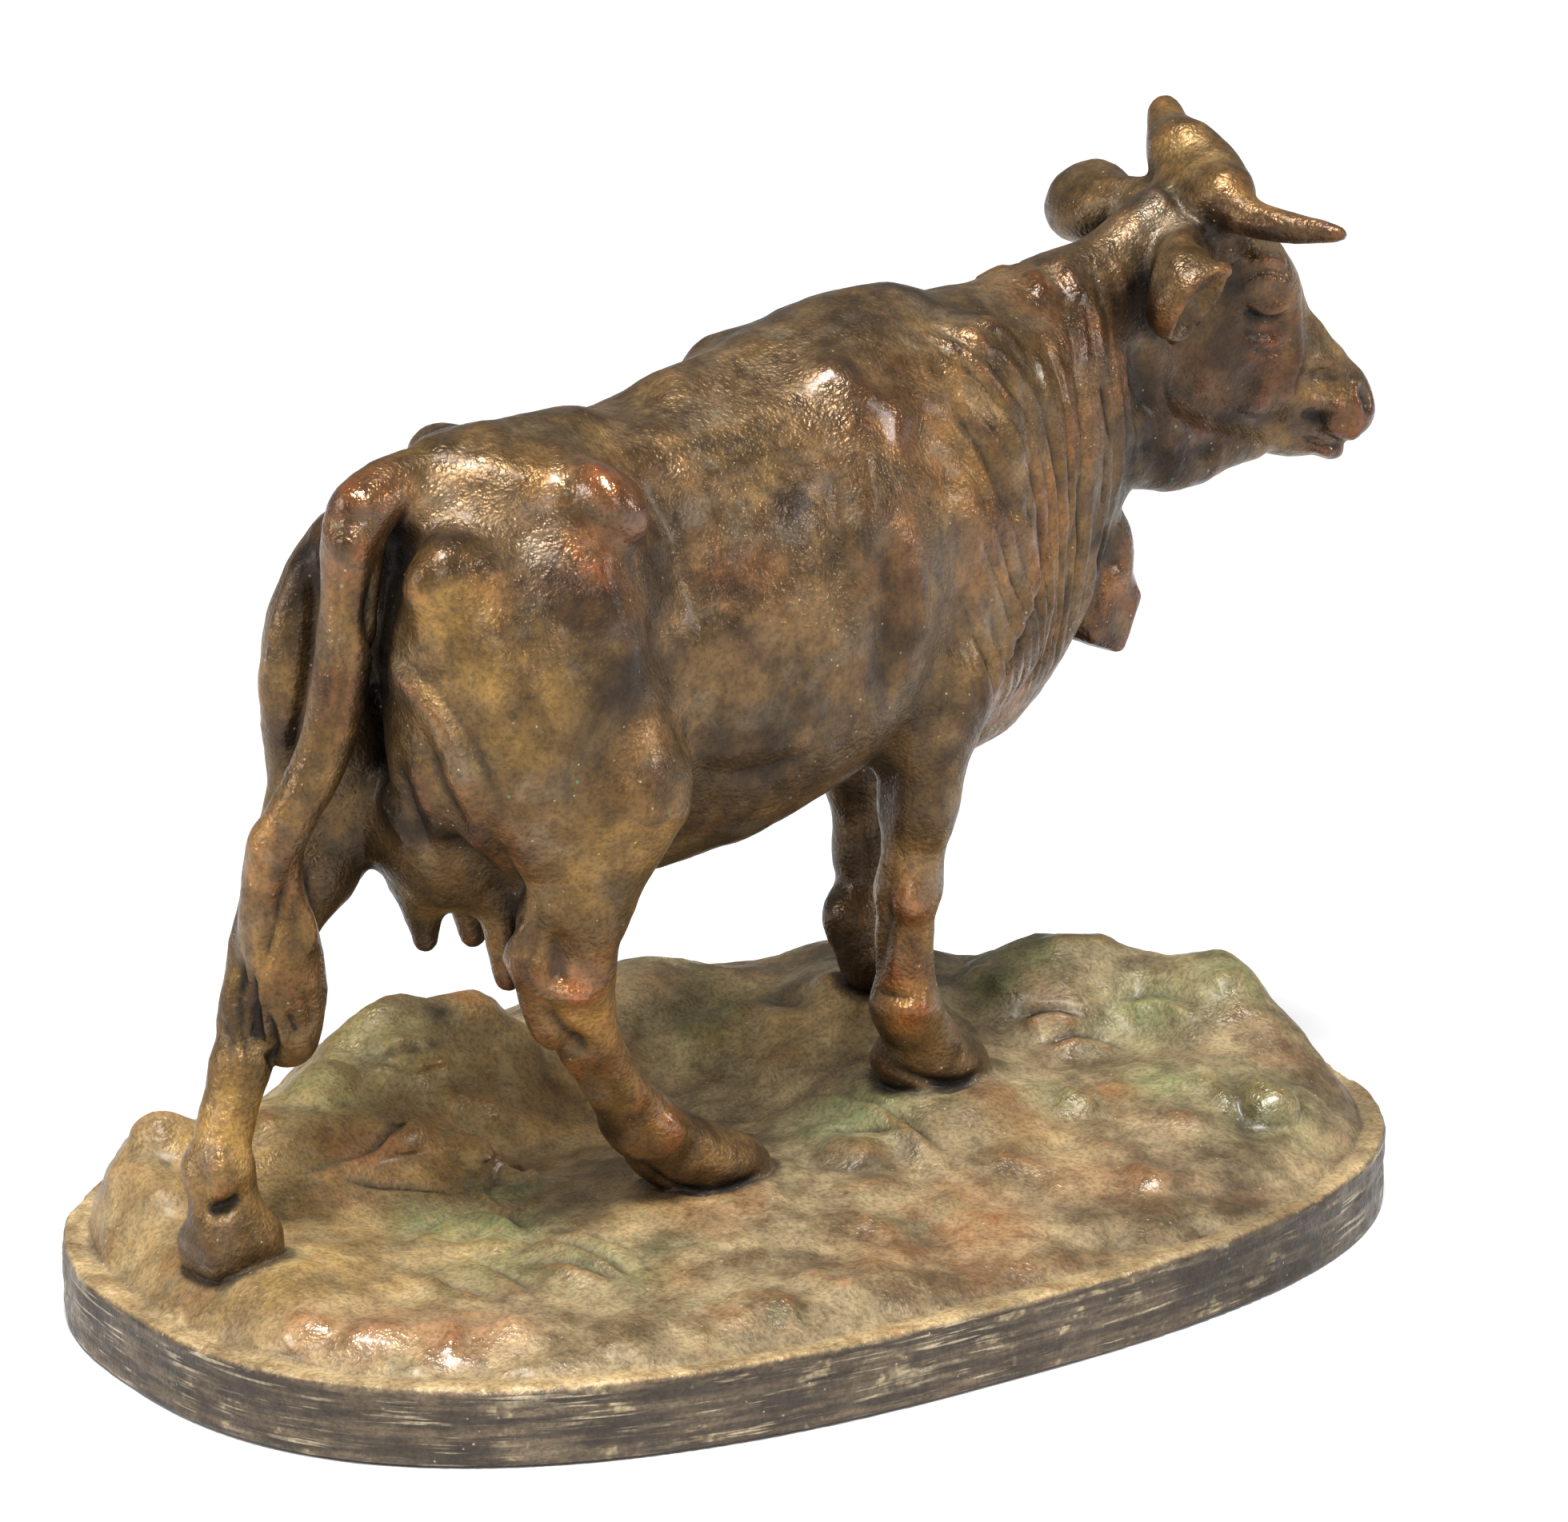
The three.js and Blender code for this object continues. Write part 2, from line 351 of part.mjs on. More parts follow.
// ---- fewer facets where the surface is flat: edges are merged in order of
// the error they make, and only where the surface stays closed and unfolded
function thin({ verts, faces }, keep) {
  const N = verts.length, Q = Array.from({ length: N }, () => new Float64Array(10)), own = Array.from({ length: N }, () => new Set());
  const normal = (a, b, c) => {
    const u = [b[0] - a[0], b[1] - a[1], b[2] - a[2]], w = [c[0] - a[0], c[1] - a[1], c[2] - a[2]];
    return [u[1] * w[2] - u[2] * w[1], u[2] * w[0] - u[0] * w[2], u[0] * w[1] - u[1] * w[0]];
  };
  const alive = new Uint8Array(faces.length).fill(1);
  faces.forEach((f, i) => {
    const m = normal(verts[f[0]], verts[f[1]], verts[f[2]]), L = Math.hypot(...m) || 1e-12;
    const [a, b, c] = m.map((v) => v / L), d = -(a * verts[f[0]][0] + b * verts[f[0]][1] + c * verts[f[0]][2]), w = L / 2;
    for (const v of f) { [a * a, a * b, a * c, a * d, b * b, b * c, b * d, c * c, c * d, d * d].forEach((x, k) => { Q[v][k] += x * w; }); own[v].add(i); }
  });
  const err = (q, p) => q[0] * p[0] * p[0] + 2 * q[1] * p[0] * p[1] + 2 * q[2] * p[0] * p[2] + 2 * q[3] * p[0] + q[4] * p[1] * p[1]
    + 2 * q[5] * p[1] * p[2] + 2 * q[6] * p[1] + q[7] * p[2] * p[2] + 2 * q[8] * p[2] + q[9];
  const best = (a, b) => {
    const q = Q[a].map((v, k) => v + Q[b][k]), A = verts[a], B = verts[b];
    const mid = A.map((v, i) => (v + B[i]) / 2);
    const det = q[0] * (q[4] * q[7] - q[5] * q[5]) - q[1] * (q[1] * q[7] - q[5] * q[2]) + q[2] * (q[1] * q[5] - q[4] * q[2]);
    const list = [mid, A, B], len = Math.hypot(A[0] - B[0], A[1] - B[1], A[2] - B[2]);
    if (Math.abs(det) > 1e-3) {
      const r = [-q[3], -q[6], -q[8]];
      const x = (r[0] * (q[4] * q[7] - q[5] * q[5]) - q[1] * (r[1] * q[7] - q[5] * r[2]) + q[2] * (r[1] * q[5] - q[4] * r[2])) / det;
      const y = (q[0] * (r[1] * q[7] - q[5] * r[2]) - r[0] * (q[1] * q[7] - q[5] * q[2]) + q[2] * (q[1] * r[2] - r[1] * q[2])) / det;
      const z = (q[0] * (q[4] * r[2] - r[1] * q[5]) - q[1] * (q[1] * r[2] - r[1] * q[2]) + r[0] * (q[1] * q[5] - q[4] * q[2])) / det;
      if (Math.hypot(x - mid[0], y - mid[1], z - mid[2]) < len) list.push([x, y, z]);
    }
    let out = null;
    for (const p of list) { const e = Math.max(err(q, p), 0) + 1e-4 * len * len; if (!out || e < out.e) out = { e, p }; }
    return out;
  };
  const heap = [], stamp = new Int32Array(N);
  const push = (x) => { let i = heap.push(x) - 1; while (i) { const p = (i - 1) >> 1; if (heap[p].e <= heap[i].e) break; [heap[p], heap[i]] = [heap[i], heap[p]]; i = p; } };
  const pop = () => {
    const top = heap[0], last = heap.pop();
    if (heap.length) { heap[0] = last; let i = 0; for (;;) { let c = 2 * i + 1; if (c >= heap.length) break; if (c + 1 < heap.length && heap[c + 1].e < heap[c].e) c++; if (heap[i].e <= heap[c].e) break; [heap[i], heap[c]] = [heap[c], heap[i]]; i = c; } }
    return top;
  };
  const offer = (a, b) => { const o = best(a, b); push({ e: o.e, p: o.p, a, b, sa: stamp[a], sb: stamp[b] }); };
  const ring = (v) => { const s = new Set(); for (const f of own[v]) for (const w of faces[f]) if (w !== v) s.add(w); return s; };
  for (let v = 0; v < N; v++) for (const w of ring(v)) if (v < w) offer(v, w);
  let left = faces.length;
  while (left > keep && heap.length) {
    const { p, a, b, sa, sb } = pop();
    if (stamp[a] !== sa || stamp[b] !== sb) continue;
    const ra = ring(a), rb = ring(b);
    let shared = 0; for (const v of ra) if (rb.has(v)) shared++;
    if (shared !== 2) continue;
    let ok = true;
    for (const [v, o] of [[a, b], [b, a]]) for (const f of own[v]) {
      if (faces[f].includes(o)) continue;
      const c = faces[f].map((w) => verts[w]), m = faces[f].map((w) => (w === v ? p : verts[w]));
      const n0 = normal(...c), n1 = normal(...m), l0 = Math.hypot(...n0), l1 = Math.hypot(...n1);
      if (l1 < 1e-3 || n0[0] * n1[0] + n0[1] * n1[1] + n0[2] * n1[2] < 0.35 * l0 * l1) { ok = false; break; }
      const long = Math.max(...[0, 1, 2].map((i) => Math.hypot(...m[i].map((x, k) => x - m[(i + 1) % 3][k]))));
      if (l1 / (long * long) < 0.06) { ok = false; break; }
    }
    if (!ok) continue;
    verts[a] = p; Q[a] = Q[a].map((v, k) => v + Q[b][k]);
    for (const f of [...own[b]]) {
      if (faces[f].includes(a)) { alive[f] = 0; left--; for (const w of faces[f]) own[w].delete(f); }
      else { faces[f] = faces[f].map((w) => (w === b ? a : w)); own[a].add(f); }
    }
    own[b].clear(); stamp[b] = -1; stamp[a]++;
    for (const w of ring(a)) offer(Math.min(a, w), Math.max(a, w));
  }
  return faces.filter((_, i) => alive[i]);
}

const lo = [-250, -166, 0], hi = [296, 166, 404];
const form = surface(lo, hi, CELL);
// crumbs of the sampling that touch nothing are left out
function largest({ verts, faces }) {
  const root = verts.map((_, i) => i);
  const find = (a) => { while (root[a] !== a) { root[a] = root[root[a]]; a = root[a]; } return a; };
  for (const [a, b, c] of faces) { root[find(a)] = find(b); root[find(b)] = find(c); }
  const size = new Map();
  for (const f of faces) { const r = find(f[0]); size.set(r, (size.get(r) || 0) + 1); }
  const main = [...size].sort((a, b) => b[1] - a[1])[0][0];
  return { verts, faces: faces.filter((f) => find(f[0]) === main) };
}
const whole = largest(form);
const kept = thin(whole, FACETS);

// ---- join the form and the base into one casting -------------------------
const wasm = await Module();
wasm.setup();
const solid = (positions, index) => new wasm.Manifold(new wasm.Mesh({ numProp: 3, vertProperties: new Float32Array(positions), triVerts: new Uint32Array(index) }));
const used = new Map(), flat = [];
const tri = kept.flatMap((f) => f.map((v) => { if (!used.has(v)) { used.set(v, flat.length / 3); flat.push(...form.verts[v]); } return used.get(v); }));
const figure = solid(flat, tri);

const outline = new THREE.Shape();
for (let i = 0; i < BASE_SIDES; i++) {
  const t = (2 * Math.PI * i) / BASE_SIDES, c = Math.cos(t), s = Math.sin(t);
  const x = (BASE_LENGTH / 2) * Math.sign(c) * Math.abs(c) ** (2 / BASE_POWER), y = (BASE_WIDTH / 2) * Math.sign(s) * Math.abs(s) ** (2 / BASE_POWER);
  if (i === 0) outline.moveTo(x, y); else outline.lineTo(x, y);
}
let slab = new THREE.ExtrudeGeometry(outline, { depth: RIM_HEIGHT, bevelEnabled: false });
slab.deleteAttribute('normal'); slab.deleteAttribute('uv');
slab = mergeVertices(slab, 1e-4);
const base = solid(slab.attributes.position.array, slab.index.array);

const out = figure.add(base).getMesh();
const geometry = new THREE.BufferGeometry();
const pos = new Float32Array(out.numVert * 3);
for (let i = 0; i < out.numVert; i++) for (let k = 0; k < 3; k++) pos[i * 3 + k] = out.vertProperties[i * out.numProp + k];
geometry.setAttribute('position', new THREE.BufferAttribute(pos, 3));
geometry.setIndex(new THREE.BufferAttribute(new Uint32Array(out.triVerts), 1));
geometry.computeVertexNormals();

const cow = new THREE.Mesh(geometry, new THREE.MeshStandardMaterial({ color: COLOUR, roughness: 0.45, metalness: 0.35 }));
cow.name = 'cow_sculpture';
const sculpture = new THREE.Group();
sculpture.add(cow);
export default sculpture;
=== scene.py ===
"""Looks of the cow sculpture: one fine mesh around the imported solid, its patina, floor, light and camera.
Lengths in the modelling part are millimetres in the row frame; the mesh is scaled to metres at the end."""
import bpy
import math
import numpy as np
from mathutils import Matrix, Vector
from mathutils.kdtree import KDTree


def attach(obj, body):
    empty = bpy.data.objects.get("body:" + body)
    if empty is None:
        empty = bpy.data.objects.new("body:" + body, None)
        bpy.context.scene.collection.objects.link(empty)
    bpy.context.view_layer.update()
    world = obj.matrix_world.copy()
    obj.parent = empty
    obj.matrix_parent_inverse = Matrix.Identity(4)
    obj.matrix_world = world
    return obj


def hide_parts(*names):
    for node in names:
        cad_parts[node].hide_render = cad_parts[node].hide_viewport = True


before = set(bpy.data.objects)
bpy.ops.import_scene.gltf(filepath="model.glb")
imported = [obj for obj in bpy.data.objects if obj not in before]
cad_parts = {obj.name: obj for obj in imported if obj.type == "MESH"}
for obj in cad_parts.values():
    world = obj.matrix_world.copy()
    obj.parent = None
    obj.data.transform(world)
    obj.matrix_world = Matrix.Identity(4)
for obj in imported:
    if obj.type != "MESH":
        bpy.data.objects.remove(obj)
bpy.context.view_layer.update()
F = np.float32

# ---- driving dimensions, the same as the solid's --------------------------
HALF_LENGTH, HALF_WIDTH, POWER, RIM = 250.0, 164.7, 2.52, 27.3
TURN, SHIFT_Y = 7.0, -12.0
HEAD_AT, HEAD_ROT = (206.5, -14.5, 371.5), (-14.0, -43.5, 13.0)
CELL = 1.25          # sampling step
KEEP = 198000     # triangles kept
LOW, HIGH = np.array([-256.0, -170.0, -3.0]), np.array([292.0, 170.0, 396.0])


# ---- field engine ---------------------------------------------------------
def axes(turn=0.0, rise=0.0, roll=0.0):
    a, b, c = np.radians([turn, rise, roll])
    z = np.array([[math.cos(a), -math.sin(a), 0], [math.sin(a), math.cos(a), 0], [0, 0, 1]])
    y = np.array([[math.cos(b), 0, -math.sin(b)], [0, 1, 0], [math.sin(b), 0, math.cos(b)]])
    x = np.array([[1, 0, 0], [0, math.cos(c), -math.sin(c)], [0, math.sin(c), math.cos(c)]])
    return z @ y @ x


BODY = axes(TURN)
ORIGIN = np.array([0.0, SHIFT_Y, 0.0])
HEAD = BODY @ axes(*HEAD_ROT)
HEAD_O = BODY @ np.array(HEAD_AT) + ORIGIN
state = {"T": BODY, "O": ORIGIN, "part": "animal"}
masses = []


def body_frame():
    state["T"], state["O"] = BODY, ORIGIN


def head_frame():
    state["T"], state["O"] = HEAD, HEAD_O


def base_frame():
    state["T"], state["O"] = np.eye(3), np.zeros(3)


def at(p):
    return state["T"] @ np.asarray(p, float) + state["O"]


def add(kind, sign, blend, lo, hi, **data):
    masses.append(dict(kind=kind, sign=sign, blend=blend, lo=lo, hi=hi, part=state["part"], **data))


def blob(c, r, rot, blend, sign=1):
    c, r, m = at(c), np.asarray(r, float), state["T"] @ axes(*rot)
    ext = np.sqrt(((m * r) ** 2).sum(1))
    add("ball", sign, blend, c - ext, c + ext, c=c.astype(F), r=r.astype(F), m=m.astype(F))


def hollow(c, r, rot, blend):
    blob(c, r, rot, blend, -1)


def flat_limb(a, b, ra, rb, blend, squeeze, sign=1):
    a, b, m = at(a), at(b), max(ra, rb)
    add("limb", sign, blend, np.minimum(a, b) - m, np.maximum(a, b) + m, a=a.astype(F), d=(b - a).astype(F), ra=ra, rb=rb, u=state["T"][:, 1].astype(F), s=squeeze)


def limb(a, b, ra, rb, blend):
    flat_limb(a, b, ra, rb, blend, 1.0)


def spline(rows, n):
    rows, out = np.asarray(rows, float), []
    for i in range(len(rows) - 1):
        p0, p1, p2, p3 = rows[max(i - 1, 0)], rows[i], rows[i + 1], rows[min(i + 2, len(rows) - 1)]
        for t in np.arange(n) / n:
            out.append(0.5 * (2 * p1 + (p2 - p0) * t + (2 * p0 - 5 * p1 + 4 * p2 - p3) * t * t + (3 * p1 - p0 - 3 * p2 + p3) * t ** 3))
    out.append(rows[-1])
    return np.array(out)


def cord(points, radii, blend, inner=1, squeeze=1.0, sign=1, n=4):
    rows = spline(np.column_stack([points, radii]), n)
    for i in range(len(rows) - 1):
        a, b = rows[i], rows[i + 1]
        flat_limb(a[:3], b[:3], a[3], b[3], blend if i == 0 else inner if inner > 1 else min(blend, a[3] * 0.6), squeeze, sign)


def block(c, half, rot, rounding, blend):
    c, m, half = at(c), state["T"] @ axes(*rot), np.asarray(half, float)
    ext = np.abs(m) @ half
    add("block", 1, blend, c - ext, c + ext, c=c.astype(F), m=m.astype(F), h=(half - rounding).astype(F), r=rounding)


def trunk(sections, power, blend):
    rows = np.asarray(sections, float)
    xs, fx = rows[:, 0], np.linspace(rows[0, 0], rows[-1, 0], 400)
    i = np.clip(np.searchsorted(xs, fx) - 1, 0, len(xs) - 2)
    h = xs[i + 1] - xs[i]
    t = (fx - xs[i]) / h
    table = []
    for v in rows.T[1:]:
        m = np.gradient(v, xs)
        table.append((2 * t ** 3 - 3 * t ** 2 + 1) * v[i] + (t ** 3 - 2 * t ** 2 + t) * h * m[i] + (3 * t ** 2 - 2 * t ** 3) * v[i + 1] + (t ** 3 - t ** 2) * h * m[i + 1])
    add("trunk", 1, blend, None, None, fx=fx, table=table, n=power, m=state["T"].astype(F), o=state["O"].astype(F))


def measure(o, p):
    if o["kind"] == "ball":
        q = (p - o["c"]) @ o["m"]
        k0 = np.sqrt(((q / o["r"]) ** 2).sum(1))
        k1 = np.sqrt(((q / (o["r"] * o["r"])) ** 2).sum(1))
        return k0 * (k0 - 1) / np.maximum(k1, 1e-6)
    if o["kind"] == "block":
        q = np.abs((p - o["c"]) @ o["m"]) - o["h"]
        return np.sqrt((np.maximum(q, 0) ** 2).sum(1)) + np.minimum(q.max(1), 0) - o["r"]
    if o["kind"] == "limb":
        q, d = p - o["a"], o["d"]
        h = np.clip((q @ d) / max(float(d @ d), 1e-9), 0, 1)
        w = q - h[:, None] * d
        if o["s"] != 1:
            w = w + ((w @ o["u"]) * (o["s"] - 1))[:, None] * o["u"]
        return np.sqrt((w * w).sum(1)) - (o["ra"] + (o["rb"] - o["ra"]) * h)
    q = (p - o["o"]) @ o["m"]
    x = np.clip(q[:, 0], o["fx"][0], o["fx"][-1])
    top, low, w, mid, yc = [np.interp(x, o["fx"], v) for v in o["table"]]
    y, dz = q[:, 1] - yc, q[:, 2] - mid
    h = np.where(dz > 0, top - mid, mid - low)
    g = (np.abs(y / w) ** o["n"] + np.abs(dz / h) ** o["n"]) ** (1 / o["n"])
    m = np.minimum(w, h)
    d = np.maximum(np.where(g > 1e-3, np.sqrt(y * y + dz * dz) * (1 - 1 / np.maximum(g, 1e-3)), -m), -m)
    e = np.abs(q[:, 0] - x)
    return np.where(e > 0, np.sqrt(np.maximum(d, 0) ** 2 + e * e), d).astype(F)


class Part:
    """The masses of one part of the model, with their boxes kept together so that far ones are skipped quickly."""

    def __init__(self, rows):
        self.rows = rows
        wide = np.full(3, 1e4)
        self.lo = np.array([-wide if o["lo"] is None else o["lo"] for o in rows])
        self.hi = np.array([wide if o["hi"] is None else o["hi"] for o in rows])
        self.reach = np.array([o["blend"] + 6 for o in rows], float)
        self.solid = np.array([o["sign"] > 0 for o in rows])

    def __call__(self, p):
        gap = np.maximum(np.maximum(self.lo - p.max(0), p.min(0) - self.hi), 0)
        far = (gap > self.reach[:, None]).any(1)
        bound = np.maximum(np.sqrt((gap ** 2).sum(1)), self.reach)[far & self.solid]
        d = np.full(len(p), bound.min() if len(bound) else 1e3, F)
        for i in np.flatnonzero(~far):
            o = self.rows[i]
            k = o["blend"]
            e = ground(p) if o["kind"] == "ground" else measure(o, p)
            if o["sign"] > 0:
                h = np.maximum(k - np.abs(d - e), 0) / k
                d = np.minimum(d, e) - h * h * k * 0.25
            else:
                h = np.maximum(k - np.abs(d + e), 0) / k
                d = np.maximum(d, -e) + h * h * k * 0.25
        return d


# ---- the animal, as masses blended into one another -----------------------
def animal():
    # Trunk and neck as one run of upright sections:
    # place along the animal, top, underside, half width, height of the widest point, sideways shift
    trunk([[-160, 297, 234, 24, 270, 0], [-142, 310, 210, 35, 275, 0], [-110, 316, 184, 43, 274, 0],
    [-80, 315.5, 163, 50, 256, 0], [-50, 319.5, 157.5, 58, 240, 0], [-20, 325.5, 163, 63, 236, 0],
    [10, 335.5, 172, 63, 241, 0], [40, 341, 181, 56, 250, 0], [70, 339, 168, 50, 258, 0],
    [98, 338, 170, 43, 265, 0], [120, 341, 182, 36, 270, -1], [138, 346, 202, 30, 280, -3],
    [154, 350, 232, 21.5, 298, -6], [168, 357, 255, 17, 316, -9], [182, 362, 286, 13, 330, -11]], 2.2, 12)
    limb([-140, 0, 309], [-85, 0, 310], 8, 8, 16)  # sacrum
    limb([-40, 0, 316], [60, 0, 331], 8, 10, 16)  # spine to the withers
    for s in [-1, 1]:
        blob([-103, s * 43, 296], [12, 11, 10], [0, 0, 0], 10)  # hip bone
        limb([-106, s * 40, 299], [-130, s * 16, 305], 7, 7, 12)  # ridge from the hip bone to the sacrum
        blob([-160, s * 24, 278], [13, 10, 12], [0, 20, 0], 11)  # pin bone
        blob([62, s * 34, 276], [24, 14, 60], [0, -14, 0], 16)  # shoulder blade
        blob([69, s * 34, 225], [30, 14, 28], [0, 20, 0], 12)  # point of the shoulder
        blob([40, s * 34, 206], [22, 15, 26], [0, 0, 0], 10)  # upper arm
        hollow([-72, s * 74, 288], [26, 22, 27], [0, 0, 0], 20)  # flank hollow
    # Thighs
    blob([-119, -36, 229], [41, 24, 61], [0, -8, 0], 14)
    blob([-148, -28, 240], [23, 17, 46], [0, 0, 0], 12)
    blob([-157, -12, 232], [14, 17, 44], [0, 0, 0], 10)  # inner side of the near thigh
    blob([-138, 37, 230], [42, 19, 62], [0, 8, 0], 14)
    blob([-167.5, 33, 218], [21.5, 15, 57], [0, 6, 0], 12)
    # Right hind leg, stepping forward
    limb([-104, -41, 198], [-117, -39, 164], 27, 17.5, 12)  # gaskin
    limb([-117, -39, 164], [-119, -37, 140], 17, 13.5, 7)
    limb([-126, -38, 178], [-135, -36, 146], 8, 6.5, 6)  # tendon to the point of the hock
    limb([-135, -36, 143], [-126, -35, 122], 7, 7.5, 6)
    limb([-116, -37, 140], [-110, -34, 113], 13, 10.5, 6)
    limb([-110, -34, 113], [-87, -29, 80], 10.3, 9.8, 4)  # cannon
    blob([-82, -28, 75], [13.5, 12, 12], [0, -40, 0], 5)  # fetlock
    limb([-79, -28, 71], [-61, -26, 60], 11, 12.5, 5)  # pastern
    blob([-52, -25, 53], [31, 15.5, 13.5], [-6, -18, 0], 4)  # hoof
    # Left hind leg, behind
    limb([-155, 36, 200], [-174, 34, 170], 20, 14.5, 12)
    limb([-174, 34, 170], [-191, 32, 143], 14, 11, 7)
    limb([-180, 35, 190], [-199, 33, 150], 9, 7, 6)
    limb([-198, 32, 148], [-206, 30, 125], 7, 7.5, 6)
    limb([-195, 31, 140], [-208.5, 28, 110], 11, 9.5, 6)
    limb([-208.5, 28, 110], [-218, 26, 84], 9.5, 9.5, 5)
    blob([-220, 26, 76], [12.5, 12, 11], [0, 0, 0], 5)
    limb([-219, 26, 74], [-216, 25, 52], 10.5, 14.5, 4)
    block([-216, 25, 49.5], [15.5, 12, 8], [-4, 6, 0], 5, 5)  # square hoof
    # Right foreleg
    limb([47, -37, 208], [43.5, -34, 165], 20, 14, 12)  # forearm
    limb([43.5, -34, 165], [41.5, -32, 134], 13.4, 10.6, 6)
    blob([41, -32, 135], [11.5, 11, 12], [0, 0, 0], 5)  # knee
    limb([40.5, -31, 130], [42, -30, 100], 10.2, 10.2, 4)
    blob([42.5, -30, 89], [13.5, 12.5, 12], [0, -20, 0], 5)
    limb([45, -29, 84], [54, -27, 72], 11.5, 13, 5)
    blob([60, -25, 62.5], [26, 15.5, 14.5], [-4, -16, 0], 4)
    # Left foreleg
    limb([67, 37, 205], [73, 31, 160], 20, 12, 12)
    limb([73, 31, 160], [80, 30, 124], 12, 10.3, 6)
    blob([78, 30, 128], [12, 12, 13], [0, 0, 0], 7)
    limb([78, 29, 124], [72, 28, 96], 10, 10, 6)
    blob([71, 28, 104], [12, 12, 11], [0, 0, 0], 6)
    blob([84, 26, 84], [20, 13, 12], [0, -12, 0], 5)
    # Brisket
    blob([94, 0, 204], [23, 24, 26], [0, 0, 0], 12)
    blob([100, -4, 189], [12, 13, 8.5], [0, 20, 0], 4)
    blob([121, -5, 201], [9.5, 12, 11], [0, 30, 0], 5)
    blob([136, -5, 214], [8, 9, 12], [0, 30, 0], 6)
    # Udder and teats
    blob([-121, 2, 182], [37, 27, 30], [0, 8, 0], 12)
    blob([-140, 3, 186], [24, 24, 26], [0, 0, 0], 10)
    blob([-76, 0, 172], [28, 25, 14], [0, 0, 0], 14)
    for x, y, low in [[-127, -13, 132], [-144, 10, 144.5], [-122, 12, 141], [-108, -13, 140]]:
        limb([x - 1, y, 163], [x + 1, y, low], 10, 4.6, 5)
    # Tail: root, dock and switch
    blob([-148, 0, 300], [20, 12, 11], [0, -10, 0], 12)
    cord([[-140, 0, 306], [-155, 0, 306], [-168, 0, 302], [-176, 0, 293], [-177.5, 1, 281], [-178.5, 2, 267],
    [-181, 4, 243], [-185, 7, 221], [-193, 12, 202], [-200, 17, 186]],
    [9, 9.5, 10.5, 10.5, 10, 9.3, 9.2, 8.8, 8, 7.9], 6, 2, 1)
    cord([[-200, 17, 186], [-199, 20, 170], [-196, 21, 152], [-193.5, 21, 134], [-194, 20, 118]],
    [8, 10, 13.4, 13.2, 9.5], 4, 2, 1)
    # Throat, strap loop and bell
    cord([[171, -10, 276], [193, -13, 268.5], [214, -16, 267.5], [233, -17, 265]], [17, 13, 8.5, 5.5], 10, 1, 1.35)
    cord([[156, -9, 248], [163, -10, 239], [165, -10, 229]], [7, 6.5, 6.5], 4, 1, 1)
    limb([152, -8, 238], [150, -8, 214], 9, 10, 6)
    block([159, -8, 210.5], [11.3, 10.5, 13], [0, -24, 0], 4, 3)
    blob([163, -8, 222], [11.5, 10.5, 9], [0, -24, 0], 3)
    hollow([142, -31, 238], [7, 8, 12], [0, 8, 0], 2.5)
    # Head, in a frame of its own: first axis down the face, second to its left, third out of the face
    head_frame()
    blob([28, 0, -28], [38, 23, 27], [0, 0, 0], 14)  # skull
    blob([30, 0, -12], [34, 20, 9], [0, 0, 0], 8)  # forehead
    limb([4, -17, -7], [-1, 17, -5], 10, 10.5, 10)  # poll
    cord([[6, -16, -3], [5, 0, 0], [-1, 17, 1]], [7, 8, 7.5], 8, 1, 1)
    flat_limb([50, 0, -27], [104, 0, -26], 18, 13.5, 10, 1.1)  # bridge of the nose
    for s in [-1, 1]:
        blob([41, s * 17.5, -19], [17, 8.5, 12.5], [0, 0, 0], 9)  # eye
        blob([50, s * 13, -45], [33, 12, 27], [0, 14, 0], 8)  # cheek
        blob([36, s * 15, -50], [22, 10.5, 20], [0, 0, 0], 7)  # jaw muscle
        blob([90, s * 7, -40], [20, 7.5, 10], [0, 8, 0], 6)  # lips
    cord([[38, 0, -62], [66, 0, -60], [92, 0, -53], [110, 0, -45]], [13, 12, 9, 7], 9, 1, 1)
    blob([111, 0, -27], [15, 15.5, 13.5], [0, 4, 0], 5)  # muzzle
    blob([115, 0, -41.5], [12.5, 10.5, 6], [0, 8, 0], 4)  # lower lip
    cord([[3, -17, -6], [10, -30, -4.5], [18.5, -45, 4], [26, -57, 13]], [9.5, 7.2, 5.2, 2.3], 6, 2, 1)  # right horn
    cord([[-2, 17, -3], [-3, 28, -1], [-4, 38, 2], [-4, 46, 4.5]], [10.5, 7.2, 5.6, 4.3], 6, 1, 1)  # left horn
    limb([5, -18, -28], [1, -42, -37], 10, 12, 6)
    limb([4, 20, -26], [1, 34, -34], 10, 10, 6)
    blob([4, -48, -43], [12.5, 12.5, 16], [-46, 0, 13.5], 5)  # right ear
    limb([3.5, -48, -37], [4.5, -52.5, -26], 10, 3.6, 5)  # its upper corner
    limb([6, -46, -44], [15, -43, -55], 9, 3, 5)  # its lower corner
    hollow([13, -60, -40], [16, 12, 17.5], [-46, 0, 13.5], 1.2)
    blob([0, 46, -39], [12, 21, 16.5], [0, 0, -14], 5)  # left ear
    hollow([10, 53, -41], [12, 17, 12], [-25, 0, -14], 2.5)
    body_frame()


# ---- ground: X, Y, two radii and a height each ------------------------------
MOUNDS = [
    (-217, -12, 55, 55, 12),
    (-47, -43, 80, 60, 12),
    (66, -29, 60, 55, 27),
    (78, 38, 50, 50, 43),
    (-95, 85, 46, 34, 50),
    (-212, 70, 36, 38, 35),
    (-150, 60, 60, 50, 30),
    (25, 105, 75, 48, 37.5),
    (110, 80, 60, 50, 36),
    (158, 30, 44, 45, 41),
    (208, -16, 44, 50, 38),
    (150, -60, 70, 50, 18),
    (186, 22, 34, 40, 31),
    (-60, 84, 32, 28, 44),
]


